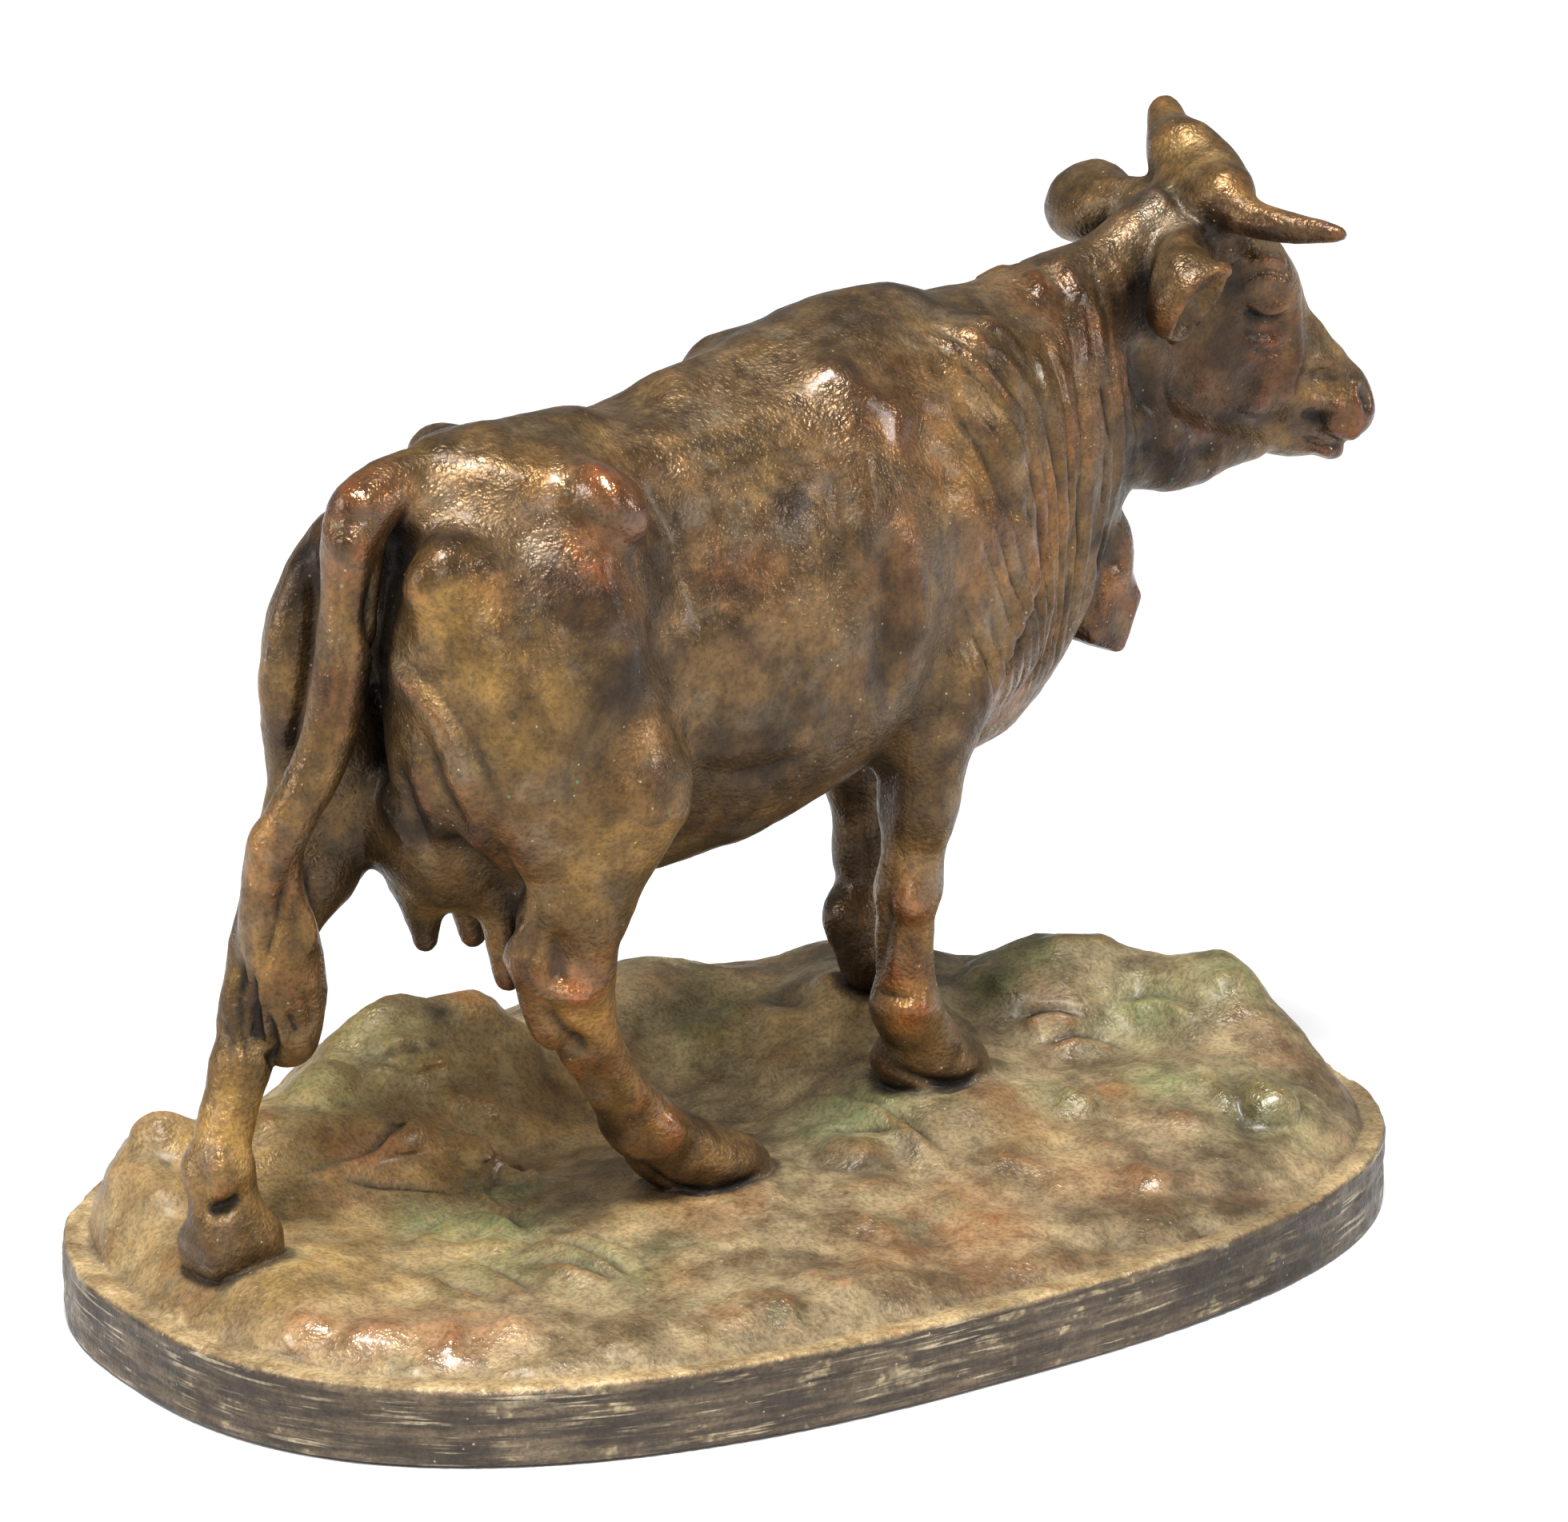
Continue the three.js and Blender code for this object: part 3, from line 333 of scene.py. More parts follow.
def oval(x, y, inset=0.0):
    return ((np.abs(x) / (HALF_LENGTH - inset)) ** POWER + (np.abs(y) / (HALF_WIDTH - inset)) ** POWER) ** (1 / POWER)


def ground_height(x, y):
    e = 1 - (1 - np.clip((1 - oval(x, y, 9)) / 0.13, 0, 1)) ** 2.4
    h = np.zeros_like(x)
    for mx, my, rx, ry, rise in MOUNDS:
        h = h + (rise * np.exp(-((x - mx) / rx) ** 2 - ((y - my) / ry) ** 2)) ** 3
    return RIM - 2 + e * (8 + np.cbrt(h))


def ground(p):
    x, y, z = p[:, 0], p[:, 1], p[:, 2]
    r = np.sqrt(x * x + y * y)
    side = r * (1 - 1 / np.maximum(oval(x, y), 1e-3))
    # the base: upright side, a soft upper edge and a ledge
    edge = np.stack([side + 2.2, np.abs(z - RIM / 2) - RIM / 2 + 2.2], 1)
    slab = np.sqrt((np.maximum(edge, 0) ** 2).sum(1)) + np.minimum(edge.max(1), 0) - 2.2
    slab = np.where(z < 6, np.maximum(side, -z), slab)
    top = np.maximum((z - ground_height(x, y)) * 0.85, np.maximum(side + 8, 1 - z))
    k = 2.5
    h = np.maximum(k - np.abs(slab - top), 0) / k
    return (np.minimum(slab, top) - h * h * k * 0.25).astype(F)


def stones():
    """Stones, clods and leaves modelled on the ground; base frame."""
    blob((-64, 82, 76), (12, 10, 6), (0, 0, 0), 5)                         # bank on the far side
    blob((-94, 86, 75), (13, 9, 7), (0, 0, 0), 2.5)
    blob((-94, 72, 70), (18, 10, 7), (10, -8, 0), 5)                      # flat stone below the bank
    blob((-136, 66, 60), (15, 13, 9), (20, 0, 0), 3)
    limb((-158, 24, 48), (-124, 33, 50), 2.5, 6.5, 2)                     # pointed stone
    limb((-124, 33, 50), (-100, 26, 43), 6.5, 5.0, 4)
    for x, y, r, h in [(-219, -65, 7, 4), (-204, -81, 9, 4.5), (-183, -93, 11, 4), (-168, -101, 9, 4)]:
        blob((x, y, 29), (r * 1.3, r * 0.6, h + 2), (-35, 0, 0), 4)       # wet-looking bumps by the rim
    blob((36, 62, 50), (26, 15, 10), (-20, 0, 0), 4)                      # large stone beside the forelegs
    blob((18, -30, 44), (24, 34, 6), (-15, 6, 0), 4)                      # faceted stone
    blob((98, -64, 46), (9, 8, 6), (0, 0, 0), 3)
    blob((160, -92, 42), (13, 16, 8), (20, 0, 0), 4)
    blob((75, -96, 36), (17, 15, 5), (0, 0, 0), 3)
    blob((94, -118, 33), (12, 8, 5), (20, 0, 0), 3)


animal()
state["part"] = "land"
base_frame()
add("ground", 1, 1.8, None, None)
stones()


field, animal_field, land_field = Part(masses), Part([o for o in masses if o["part"] == "animal"]), Part([o for o in masses if o["part"] == "land"])


def field_gap_points(p):
    return animal_field(p) - land_field(p)


def field_gap(p):
    out = np.empty(len(p), F)
    for i in blocks(np.floor((p - LOW + 30) / 20.0).astype(int), 1):
        out[i] = field_gap_points(p[i].astype(F))
    return out


# ---- closed surface of the field (surface nets on a sparse grid) -----------
def blocks(index, size):
    key = index // size
    key = (key[:, 0].astype(np.int64) * 4096 + key[:, 1]) * 4096 + key[:, 2]
    order = np.argsort(key, kind="stable")
    key = key[order]
    start = np.flatnonzero(np.r_[True, key[1:] != key[:-1]])
    return [order[a:b] for a, b in zip(start, np.r_[start[1:], len(key)])]


def surface(low, high, step, b=5):
    nb = np.ceil((high - low) / step / b).astype(int)
    n = nb * b + 1
    grid = np.stack(np.meshgrid(*[np.arange(v) for v in nb], indexing="ij"), -1).reshape(-1, 3)
    centre = (low + (grid + 0.5) * b * step).astype(F)
    dc = np.empty(len(grid), F)
    for i in blocks(grid, 6):
        dc[i] = field(centre[i])
    near = np.abs(dc) < b * step * 0.87 * 1.6 + 2 * step
    d = np.full(n, 1e3, F)
    sign = np.where(dc < 0, -1, 1).reshape(nb).astype(F)
    d[:-1, :-1, :-1] = sign.repeat(b, 0).repeat(b, 1).repeat(b, 2) * F(1e3)
    off = np.stack(np.meshgrid(*[np.arange(b + 1)] * 3, indexing="ij"), -1).reshape(-1, 3)
    act = grid[near]
    flat = d.reshape(-1)
    for i in blocks(act, 3):
        q = (act[i][:, None, :] * b + off[None]).reshape(-1, 3)
        lin = (q[:, 0] * n[1] + q[:, 1]) * n[2] + q[:, 2]
        lin, u = np.unique(lin, return_index=True)
        flat[lin] = field((low + q[u] * step).astype(F))
    inside, strides = d < 0, np.array([n[1] * n[2], n[2], 1])
    cells, places, quads = [], [], []
    for ax in range(3):
        s0, s1 = [slice(None)] * 3, [slice(None)] * 3
        s0[ax], s1[ax] = slice(0, -1), slice(1, None)
        e = np.argwhere(inside[tuple(s0)] != inside[tuple(s1)])
        a1, a2 = [(1, 2), (2, 0), (0, 1)][ax]
        e = e[(e[:, a1] > 0) & (e[:, a2] > 0) & (e[:, a1] < n[a1] - 1) & (e[:, a2] < n[a2] - 1)]
        i0 = e @ strides
        d0, d1 = flat[i0], flat[i0 + strides[ax]]
        p = e.astype(float)
        p[:, ax] += d0 / (d0 - d1)
        ring = [i0, i0 - strides[a1], i0 - strides[a1] - strides[a2], i0 - strides[a2]]
        cells += ring
        places += [p] * 4
        q = np.stack(ring, 1)
        turn = d0 >= 0
        q[turn] = q[turn][:, ::-1]
        quads.append(q)
    cell, inv = np.unique(np.concatenate(cells), return_inverse=True)
    places, count = np.concatenate(places), np.bincount(inv)
    v = np.stack([np.bincount(inv, weights=places[:, j]) / count for j in range(3)], 1)
    return low + v * step, np.searchsorted(cell, np.concatenate(quads))


def normals(v, q):
    n = np.cross(v[q[:, 2]] - v[q[:, 0]], v[q[:, 3]] - v[q[:, 1]])
    out = np.stack([np.bincount(q.ravel(), weights=np.repeat(n[:, j], q.shape[1]), minlength=len(v)) for j in range(3)], 1)
    return out / np.maximum(np.linalg.norm(out, axis=1), 1e-9)[:, None]


def relax(v, q, times, share=0.5):
    """Each value moves towards the mean of its neighbours."""
    n = q.shape[1]
    a = q.ravel()
    b = np.roll(q, -1, axis=1).ravel()
    count = np.bincount(a, minlength=len(v)) + np.bincount(b, minlength=len(v))
    v = v.reshape(len(v), -1)
    for _ in range(times):
        s = np.stack([np.bincount(a, weights=v[b, j], minlength=len(v)) + np.bincount(b, weights=v[a, j], minlength=len(v)) for j in range(v.shape[1])], 1)
        v = v + (s / np.maximum(count, 1)[:, None] - v) * share
    return v


# ---- noise ------------------------------------------------------------------
def noise(p, size, seed):
    """Smooth value noise in -1..1, about size millimetres a lump."""
    q = p / size + seed * 17.31
    i = np.floor(q).astype(np.int64)
    f = q - i
    f = f * f * (3 - 2 * f)
    out = 0.0
    for dx in (0, 1):
        for dy in (0, 1):
            for dz in (0, 1):
                k = (i[:, 0] + dx) * 374761393 + (i[:, 1] + dy) * 668265263 + (i[:, 2] + dz) * 2147483647 + seed * 1274126177
                k = (k ^ (k >> 13)) * 1274126177
                k = ((k ^ (k >> 16)) & 0xFFFF) / 32767.5 - 1
                out = out + k * (f[:, 0] if dx else 1 - f[:, 0]) * (f[:, 1] if dy else 1 - f[:, 1]) * (f[:, 2] if dz else 1 - f[:, 2])
    return out


def step(lo, hi, x):
    t = np.clip((x - lo) / (hi - lo), 0, 1)
    return t * t * (3 - 2 * t)


V, Q = surface(LOW, HIGH, CELL)
V = V + (relax(V, Q, 1, 0.5) - V) * 0.6
N = normals(V, Q)
lift = np.zeros(len(V))       # relief, along the normal
groove_shade, crest = np.zeros(len(V)), np.zeros(len(V))     # where grooves get painted shade and where ridges are rubbed


# ---- folds: ridges and grooves that lie on the surface ----------------------
tree = KDTree(len(V))
for index, place in enumerate(V.tolist()):
    tree.insert(place, index)
tree.balance()
use = BODY, ORIGIN


def snap(line):
    return V[[tree.find(p)[1] for p in line.tolist()]]


def fold(points, width, height, lip=0.0, flip=False):
    """A ridge (height > 0) or groove along the points; lip sinks a line beside the ridge and sharpens that side."""
    points = np.asarray(points, float)
    if len(points) == 2:
        points = np.insert(points, 1, points.mean(0), 0)
    line = snap(points @ use[0].T + use[1])
    line = spline(line, 4)
    near_to = snap(line)
    line = line + (relax_line(near_to) - line)
    reach = width * 3.0 + 1
    near = np.flatnonzero(((V > line.min(0) - reach) & (V < line.max(0) + reach)).all(1))
    p, n = V[near], N[near]
    best, along, side = np.full(len(p), 1e9), np.zeros(len(p)), np.zeros(len(p))
    length = np.r_[0, np.cumsum(np.linalg.norm(np.diff(line, axis=0), axis=1))]
    for i in range(len(line) - 1):
        a, d = line[i], line[i + 1] - line[i]
        l2 = max(d @ d, 1e-9)
        h = np.clip(((p - a) @ d) / l2, 0, 1)
        w = p - a - h[:, None] * d
        r = np.sqrt((w * w).sum(1))
        c = r < best
        best[c] = r[c]
        along[c] = ((length[i] + h * math.sqrt(l2)) / length[-1])[c]
        side[c] = np.sign((w * np.cross(n, d)).sum(1))[c]
    ends = 0.25 + 0.75 * step(0, 1, np.minimum(along, 1 - along) * 4) if length[-1] > width * 3 else 1.0
    shape = height * np.exp(-(best / width) ** 2)
    # grooves mark where painted shade goes; ridges mark rubbed tops
    mark = groove_shade if height < 0 else crest
    mark[near] = np.maximum(mark[near], np.exp(-(best / (width * 0.55)) ** 2) * min(abs(height) / 2.5, 1.0) * min(2.8 / width, 1.0) * ends)
    if lip:
        r = best * side * (-1 if flip else 1)
        shape = height * np.exp(-(r / np.where(r > 0, width * 0.6, width * 1.5)) ** 2) - lip * np.exp(-((r - width * 1.1) / (width * 0.6)) ** 2)
        # painted shade along the sunken line beside the ridge
        groove_shade[near] = np.maximum(groove_shade[near], np.exp(-((r - width * 1.1) / (width * 0.35)) ** 2) * min(lip / 1.6, 1.0) * min(4.0 / width, 1.0) * ends)
    lift[near] += shape * ends


def relax_line(line):
    line = line.copy()
    for _ in range(2):
        line[1:-1] += (line[:-2] + line[2:] - 2 * line[1:-1]) * 0.25
    return line


def both(points, *sizes):
    """The same fold on the animal's two sides."""
    fold(points, *sizes)
    fold([(x, -y, z) for x, y, z in points], *sizes, *([0.0] if len(sizes) < 3 else []), True)


# trunk, neck, legs and tail
both([(82, -40, 326), (83, -44, 312), (84, -48, 292), (86, -48, 274), (91, -45, 259)], 2.6, -1.1)  # groove of the neck
both([(95, -40, 304), (99, -41, 292), (104, -41, 279), (107, -40, 270), (109, -40, 259)], 2.6, -1.1)  # groove of the neck 2
both([(111, -38, 293), (116, -38, 284), (118, -38, 275), (119, -37, 260)], 2.6, -1.1)  # groove of the neck 3
both([(54, -46, 311), (62, -50, 299), (70, -52, 284), (80, -50, 267), (87, -47, 253)], 4.5, 2.2)  # neck roll
both([(67, -45, 317), (72, -49, 300), (78, -50, 282)], 3.5, 1.9)  # neck roll 2
both([(100, -29, 322), (99, -37, 309), (101, -40, 295)], 4, 2)  # neck roll 3
both([(113, -31, 316), (112, -35, 303), (113, -38, 289)], 3.5, 1.2)  # neck roll 4
both([(48, -34, 327), (48, -45, 311), (56, -51, 294), (66, -53, 279), (76, -51, 266)], 3, -0.9)  # neck furrow
both([(71, -35, 335), (70, -42, 325), (72, -46, 314)], 3, -0.9)  # neck furrow 2
both([(59, -33, 331), (58, -45, 316), (65, -50, 299)], 2.4, -0.9)  # neck furrow 3
both([(134, -32, 305), (136, -33, 294), (139, -33, 281)], 1.7, -2.2)  # strap slit
both([(136, -34, 280), (136, -33, 268), (135, -33, 257)], 1.6, -2)  # strap slit 2
both([(119, -37, 268), (121, -36, 253), (121, -35, 237)], 1.6, -1.8)  # strap slit 3
both([(143, -30, 307), (146, -30, 289), (148, -29, 274), (147, -28, 258)], 3.2, 1.5)  # strap edge
both([(131, -31, 312), (130, -34, 295), (128, -35, 278), (127, -35, 259)], 3.4, 1.2)  # strap edge 2
both([(156, -27, 311), (158, -27, 293), (160, -25, 275), (161, -21, 259)], 2.6, -1.6)  # neck front fold
both([(59, -54, 271), (69, -53, 266), (81, -49, 260), (87, -47, 249), (85, -48, 240), (77, -50, 228), (67, -51, 212), (61, -51, 199)], 5, 2.2, 1.2)  # shoulder edge
both([(118, -37, 261), (116, -37, 245), (117, -36, 236), (117, -33, 219)], 2.4, -2)  # dewlap groove
both([(96, -43, 251), (99, -43, 237), (100, -41, 222)], 4, 1.2)  # dewlap roll
both([(90, -45, 253), (91, -46, 239), (89, -46, 225)], 3, -1.3)  # dewlap furrow
both([(83, -49, 228), (82, -48, 220), (76, -48, 214), (65, -51, 206)], 2.6, -2)  # brisket fold
both([(104, -34, 208), (99, -35, 204), (96, -34, 199)], 2.2, -1.8)  # brisket fold 2
both([(4, -32, 324), (12, -42, 316), (21, -46, 310)], 10, 4)  # shoulder blade
both([(16, -47, 308), (29, -49, 302), (40, -52, 291)], 12, -2.8)  # shoulder blade hollow
both([(9, -41, 316), (2, -50, 302), (-3, -58, 282), (-3, -62, 261)], 8, 2.4)  # shoulder blade rear
both([(-8, -47, 303), (-14, -56, 283), (-15, -62, 262), (-12, -64, 240)], 9, -2.8)  # hollow behind the shoulder
both([(12, -58, 283), (12, -62, 263), (18, -62, 244), (18, -60, 226)], 8, 3)  # upper arm
both([(3, -59, 279), (2, -63, 254), (1, -64, 232), (-1, -61, 215)], 6, -2.6)  # elbow groove
both([(42, -56, 252), (46, -54, 234), (47, -56, 220)], 9, -2.2)  # shoulder hollow
both([(41, -52, 288), (49, -55, 270), (57, -54, 252)], 9, 2.4)  # shoulder muscle
both([(125, -5, 342), (121, -12, 339), (117, -18, 334)], 3, 2)  # crest fold
both([(131, -7, 344), (128, -16, 338), (129, -23, 331)], 3, -1.2)  # crest fold 2
both([(134, -11, 343), (133, -19, 337), (136, -24, 331)], 4, 1.8)  # crest fold 3
both([(144, -16, 342), (143, -21, 336), (143, -25, 328)], 2.6, -1.6)  # crest fold 4
both([(154, -18, 343), (155, -21, 338), (155, -24, 330)], 3.2, 1.6)  # crest fold 5
both([(-122, -13, 316), (-107, -22, 312), (-110, -44, 308), (-106, -54, 297), (-87, -45, 282)], 7, 3.8)  # hip crest
both([(-80, -40, 294), (-75, -45, 278), (-73, -50, 262)], 12, -3.6)  # hollow in front of the hip
both([(-140, -28, 300), (-136, -36, 290), (-136, -44, 280)], 12, -1.8)  # hip plate hollow
both([(-116, -48, 289), (-115, -53, 272), (-111, -57, 256), (-110, -59, 242)], 8, 2.4)  # flank ridge
both([(-127, -52, 272), (-127, -56, 258), (-125, -59, 245)], 9, -3)  # flank groove
both([(-91, -52, 264), (-90, -54, 247), (-88, -53, 231)], 9, -2.4)  # flank groove 2
both([(-98, -57, 231), (-98, -60, 220), (-109, -66, 208)], 9, 1.6)  # thigh muscle
both([(-159, -29, 290), (-168, -31, 284), (-172, -28, 277)], 9, 2.4)  # pin bone
both([(-155, -40, 274), (-153, -47, 257), (-150, -52, 238), (-145, -55, 221)], 8, 1.8)  # thigh roll
both([(-138, -54, 256), (-137, -57, 236), (-135, -58, 216)], 10, -1.4)  # thigh hollow
fold([(-180, -2, 306), (-179, -7, 304)], 7, 2)  # tail knob
fold([(-185, -7, 291), (-183, -9, 289)], 6, 1.8)  # tail knob 2
fold([(-186, -3, 297), (-183, -8, 298), (-179, -10, 299)], 4, -1.5)  # tail furrow
fold([(-175, -11, 288), (-177, -9, 274), (-177, -7, 258), (-159, 15, 232)], 2.6, -2.4)  # tail side
fold([(-170, 32, 284), (-176, 23, 266), (-181, 21, 243), (-185, 25, 216), (-200, 14, 206)], 2.4, -2.2)  # tail other side
fold([(-188, -1, 274), (-188, -2, 259), (-190, 0, 238), (-196, 7, 216)], 3, 0.9)  # tail stripe
fold([(-185, -6, 273), (-185, -5, 255), (-188, -3, 235), (-195, 3, 212)], 2, -0.9)  # tail stripe groove
fold([(-169, -6, 250), (-172, -23, 244), (-170, -34, 235), (-164, -40, 220), (-156, -43, 200)], 5, 2.4, 1.2)  # inner thigh fold
fold([(-170, -25, 256), (-168, -36, 246), (-162, -44, 236)], 4, -1.6)  # inner thigh fold 2
fold([(-161, 8, 238), (-155, 16, 217), (-160, 7, 203)], 4, -1.6)  # inner thigh furrow
fold([(-160, 7, 203), (-165, -7, 194), (-161, -11, 181)], 4.5, 3.6)  # udder roll
fold([(-170, -12, 215), (-166, -15, 200), (-160, -15, 185)], 3, -2.4)  # udder groove
fold([(-171, -21, 221), (-165, -23, 202), (-156, -19, 187)], 4.5, 3.6)  # udder roll 2
fold([(-171, -28, 226), (-166, -33, 210), (-158, -35, 196)], 3.5, -2.6)  # udder groove 2
fold([(-165, -35, 211), (-157, -37, 195)], 9, 3)  # udder bulge
fold([(-160, -42, 208), (-153, -42, 191), (-143, -37, 176), (-132, -25, 161)], 3.5, -3)  # udder crease
fold([(-61, -48, 197), (-45, -53, 198), (-29, -57, 202)], 3.5, -1.8)  # belly crease
fold([(-93, -64, 208), (-64, -50, 206), (-49, -55, 209), (-34, -60, 215)], 4, 1.5)  # belly roll
fold([(-195, 9, 166), (-192, 8, 156), (-197, 7, 150)], 3, 2.2)  # tuft ridge
fold([(-206, 16, 133), (-203, 14, 121), (-202, 19, 110)], 2, -2.8)  # tuft groove
fold([(-201, 10, 131), (-197, 10, 121)], 2, -2)  # tuft groove 2
fold([(-209, 19, 145), (-207, 20, 130), (-207, 18, 116)], 2, -2.6)  # tuft groove 3
fold([(-195, 7, 138), (-192, 9, 122)], 2, -1.6)  # tuft groove 4
fold([(-205, 13, 133), (-201, 12, 118)], 2, 2.2)  # tuft ridge 2
fold([(-208, 16, 142), (-205, 16, 128), (-204, 17, 118)], 2, 2)  # tuft ridge 3
fold([(-199, 9, 179), (-205, 11, 163), (-208, 14, 146)], 2.5, -2.6)  # tuft twist
fold([(-210, 24, 153), (-209, 27, 137), (-211, 22, 124), (-211, 17, 111)], 2.6, -2.2)  # tuft edge
fold([(-133, -47, 154), (-131, -46, 143)], 5, -2.6)  # hock hollow
fold([(-139, -39, 165), (-141, -36, 152), (-128, -17, 133)], 3, 2.8)  # hock tendon
fold([(-121, -57, 161), (-114, -52, 144), (-115, -50, 132)], 4, 1.6)  # hock front
fold([(-137, -44, 164), (-138, -42, 152), (-141, -41, 141)], 2.4, -1.5)  # hock tendon groove
fold([(-135, -43, 137), (-127, -47, 134), (-120, -51, 135)], 4, 2.6)  # hock bone
fold([(-133, -42, 131), (-124, -43, 120), (-115, -44, 109)], 3, -2.4)  # cannon groove
fold([(-137, -33, 130), (-120, -37, 108), (-98, -33, 79)], 3, 2)  # cannon ridge
fold([(-128, -43, 127), (-122, -43, 121)], 3, 1.2)  # cannon knobs
fold([(-77, -40, 75), (-74, -39, 71)], 5, 2.6)  # fetlock knob
fold([(-85, -40, 77), (-86, -39, 69), (-80, -35, 62)], 3.4, -1.8)  # fetlock groove
fold([(-90, -40, 90), (-83, -38, 85)], 5, 1.8)  # fetlock top
fold([(-64, -38, 66), (-71, -36, 56)], 3, -1.2)  # hoof band
fold([(-83, -30, 60), (-70, -31, 49), (-57, -40, 45), (-37, -40, 48)], 2, -2.6)  # hoof undercut
fold([(-228, 19, 65), (-221, 14, 69)], 3, -2.8)  # far hoof groove
fold([(-226, 17, 82), (-225, 15, 72)], 4, 2.4)  # far fetlock
fold([(-230, 27, 83), (-231, 20, 77), (-230, 21, 71)], 3, -1.8)  # far fetlock groove
fold([(-230, 23, 60), (-224, 15, 60)], 5, 1.8)  # far hoof knob
fold([(-221, 21, 99), (-223, 20, 90), (-228, 20, 83)], 3, 1.2)  # far shank
fold([(-212, 36, 127), (-215, 26, 121), (-217, 22, 112)], 2.4, -1.6)  # far leg crease
fold([(33, -41, 133), (34, -41, 128)], 5, 2.4)  # knee
fold([(30, -37, 136), (30, -34, 128), (32, -36, 123)], 3, -1.4)  # knee groove
fold([(32, -36, 119), (33, -36, 112), (32, -34, 103)], 2.2, 1.5)  # shin ridge
fold([(29, -33, 136), (31, -31, 117), (32, -27, 101)], 2.5, -1.4)  # shin groove
fold([(35, -39, 121), (37, -40, 111), (38, -40, 101)], 2.6, 1)  # shin ridge 2
fold([(31, -25, 95), (32, -36, 96), (37, -41, 95)], 2.2, -2.2)  # fore fetlock groove
fold([(36, -40, 92), (39, -42, 90)], 5, 2.4)  # fore fetlock
fold([(56, -37, 83), (58, -39, 74)], 3, 1.8)  # fore pastern
fold([(36, -28, 69), (44, -36, 62), (58, -42, 59), (72, -40, 61)], 2, -2.6)  # fore hoof undercut
fold([(36, -48, 173), (40, -48, 161), (39, -45, 149)], 6, 1.6)  # forearm ridge
fold([(18, -45, 193), (29, -32, 171), (31, -31, 151)], 5, -1.6)  # forearm groove
both([(161, -26, 316), (163, -26, 300), (168, -25, 283)], 7, -5)  # throat pocket
both([(170, -25, 273), (178, -25, 266)], 6.5, -4.5)  # throat pocket 2
both([(185, -25, 269), (196, -25, 266), (206, -25, 268)], 6, -4)  # throat pocket 3
both([(178, -25, 275), (182, -24, 264)], 3, 1.8)  # throat ridge
both([(155, -27, 300), (157, -26, 284), (161, -24, 268)], 3, 1.5)  # throat ridge 2
fold([(158, -17, 227), (165, -18, 228)], 3, 1.2)  # bell shoulder
fold([(145, -24, 240), (141, -24, 232), (132, -29, 225)], 2.4, -1.6)  # bell groove
fold([(157, -18, 244), (162, -18, 239), (165, -18, 233)], 3, 1.4)  # bell clasp

# head
use = HEAD, HEAD_O
both([(26, -25, -17), (32, -24, -10), (41, -22, -7)], 3.4, 2.2)  # brow
both([(29, -25, -20), (33, -25, -13), (43, -24, -9)], 2, -1.2)  # upper lid crease
both([(32, -26, -23), (34, -26, -16), (42, -25, -11), (48, -24, -12)], 2.6, 1.4)  # upper lid
both([(35, -26, -26), (43, -26, -25), (50, -26, -21), (51, -24, -15)], 2.6, 1.6)  # lower lid
both([(37, -26, -29), (45, -26, -28), (52, -25, -24), (55, -23, -17)], 2.8, -2.6)  # lower lid crease
both([(29, -25, -23), (33, -26, -26)], 5, -0.8)  # eye back hollow
both([(42, -26, -36), (52, -25, -31), (58, -23, -22)], 2.4, -1.4)  # wrinkle
both([(51, -25, -37), (60, -24, -34), (66, -21, -27)], 2, -1.2)  # wrinkle 2
both([(47, -26, -36), (55, -24, -33), (62, -22, -25)], 2.4, 1.3)  # wrinkle roll
both([(52, -23, -12), (68, -18, -22), (79, -18, -35), (92, -14, -43)], 4, 2.4)  # face edge
both([(61, -24, -45), (68, -23, -44)], 5, -2)  # dimple
both([(66, -23, -53), (84, -15, -46)], 5, 2)  # cheek roll
both([(85, -14, -30), (91, -13, -23), (100, -12, -20)], 3.6, -2)  # nasal groove
both([(80, -15, -25), (90, -11, -19), (103, -10, -17)], 3, 1.8)  # nasal ridge
both([(90, -14, -37), (101, -13, -32), (107, -15, -25)], 3, 2.2)  # lip ridge
both([(97, -14, -38), (103, -13, -37)], 3.4, -2.4)  # lip hollow
both([(107, -13, -36), (117, -13, -32)], 4, 2.2)  # upper lip
both([(104, -10, -47), (111, -10, -43), (117, -10, -39), (120, -8, -35)], 1.5, -1.4)  # mouth
both([(111, -9, -47), (120, -10, -41)], 3, 1)  # lower lip
both([(110, -12, -18), (113, -13, -19)], 2.8, -3.6)  # nostril
both([(104, -11, -17), (108, -14, -21), (113, -15, -24)], 2.5, 1.6)  # nostril rim
both([(23, -35, -65), (35, -33, -73), (48, -33, -75), (66, -27, -69), (88, -17, -59)], 6, 0.9, 0.9)  # jaw
both([(-4, -37, -25), (14, -22, -19)], 4, -2.2)  # horn root

# ground
use = np.eye(3), np.zeros(3)
fold([(-155, 25, 52), (-138, 25, 51), (-118, 35, 51), (-105, 30, 45), (-94, 18, 40), (-81, -2, 40)], 3.6, 4.6, 2)  # stone ridge
fold([(-154, 21, 50), (-144, 15, 47), (-129, 10, 43), (-114, 4, 40)], 2.2, -2.4)  # stone shadow
fold([(-93, -11, 40), (-104, -23, 40), (-113, -22, 39), (-114, -10, 38), (-109, 3, 39), (-99, 14, 40), (-87, 18, 39), (-84, 9, 38), (-93, -11, 40)], 1.7, 2.8)  # ring
fold([(-101, 2, 39), (-99, -6, 39)], 6, 2)  # ring inside
fold([(-145, -21, 37), (-130, -18, 37), (-122, -23, 38), (-122, -43, 38)], 6, 3.8, 2)  # leaf
fold([(-148, -39, 36), (-135, -38, 37), (-131, -52, 37)], 6, 3.2)  # leaf lobe
fold([(-123, -48, 38), (-117, -62, 38), (-113, -80, 37), (-111, -94, 36)], 4, 3.2, 1.2)  # leaf 3
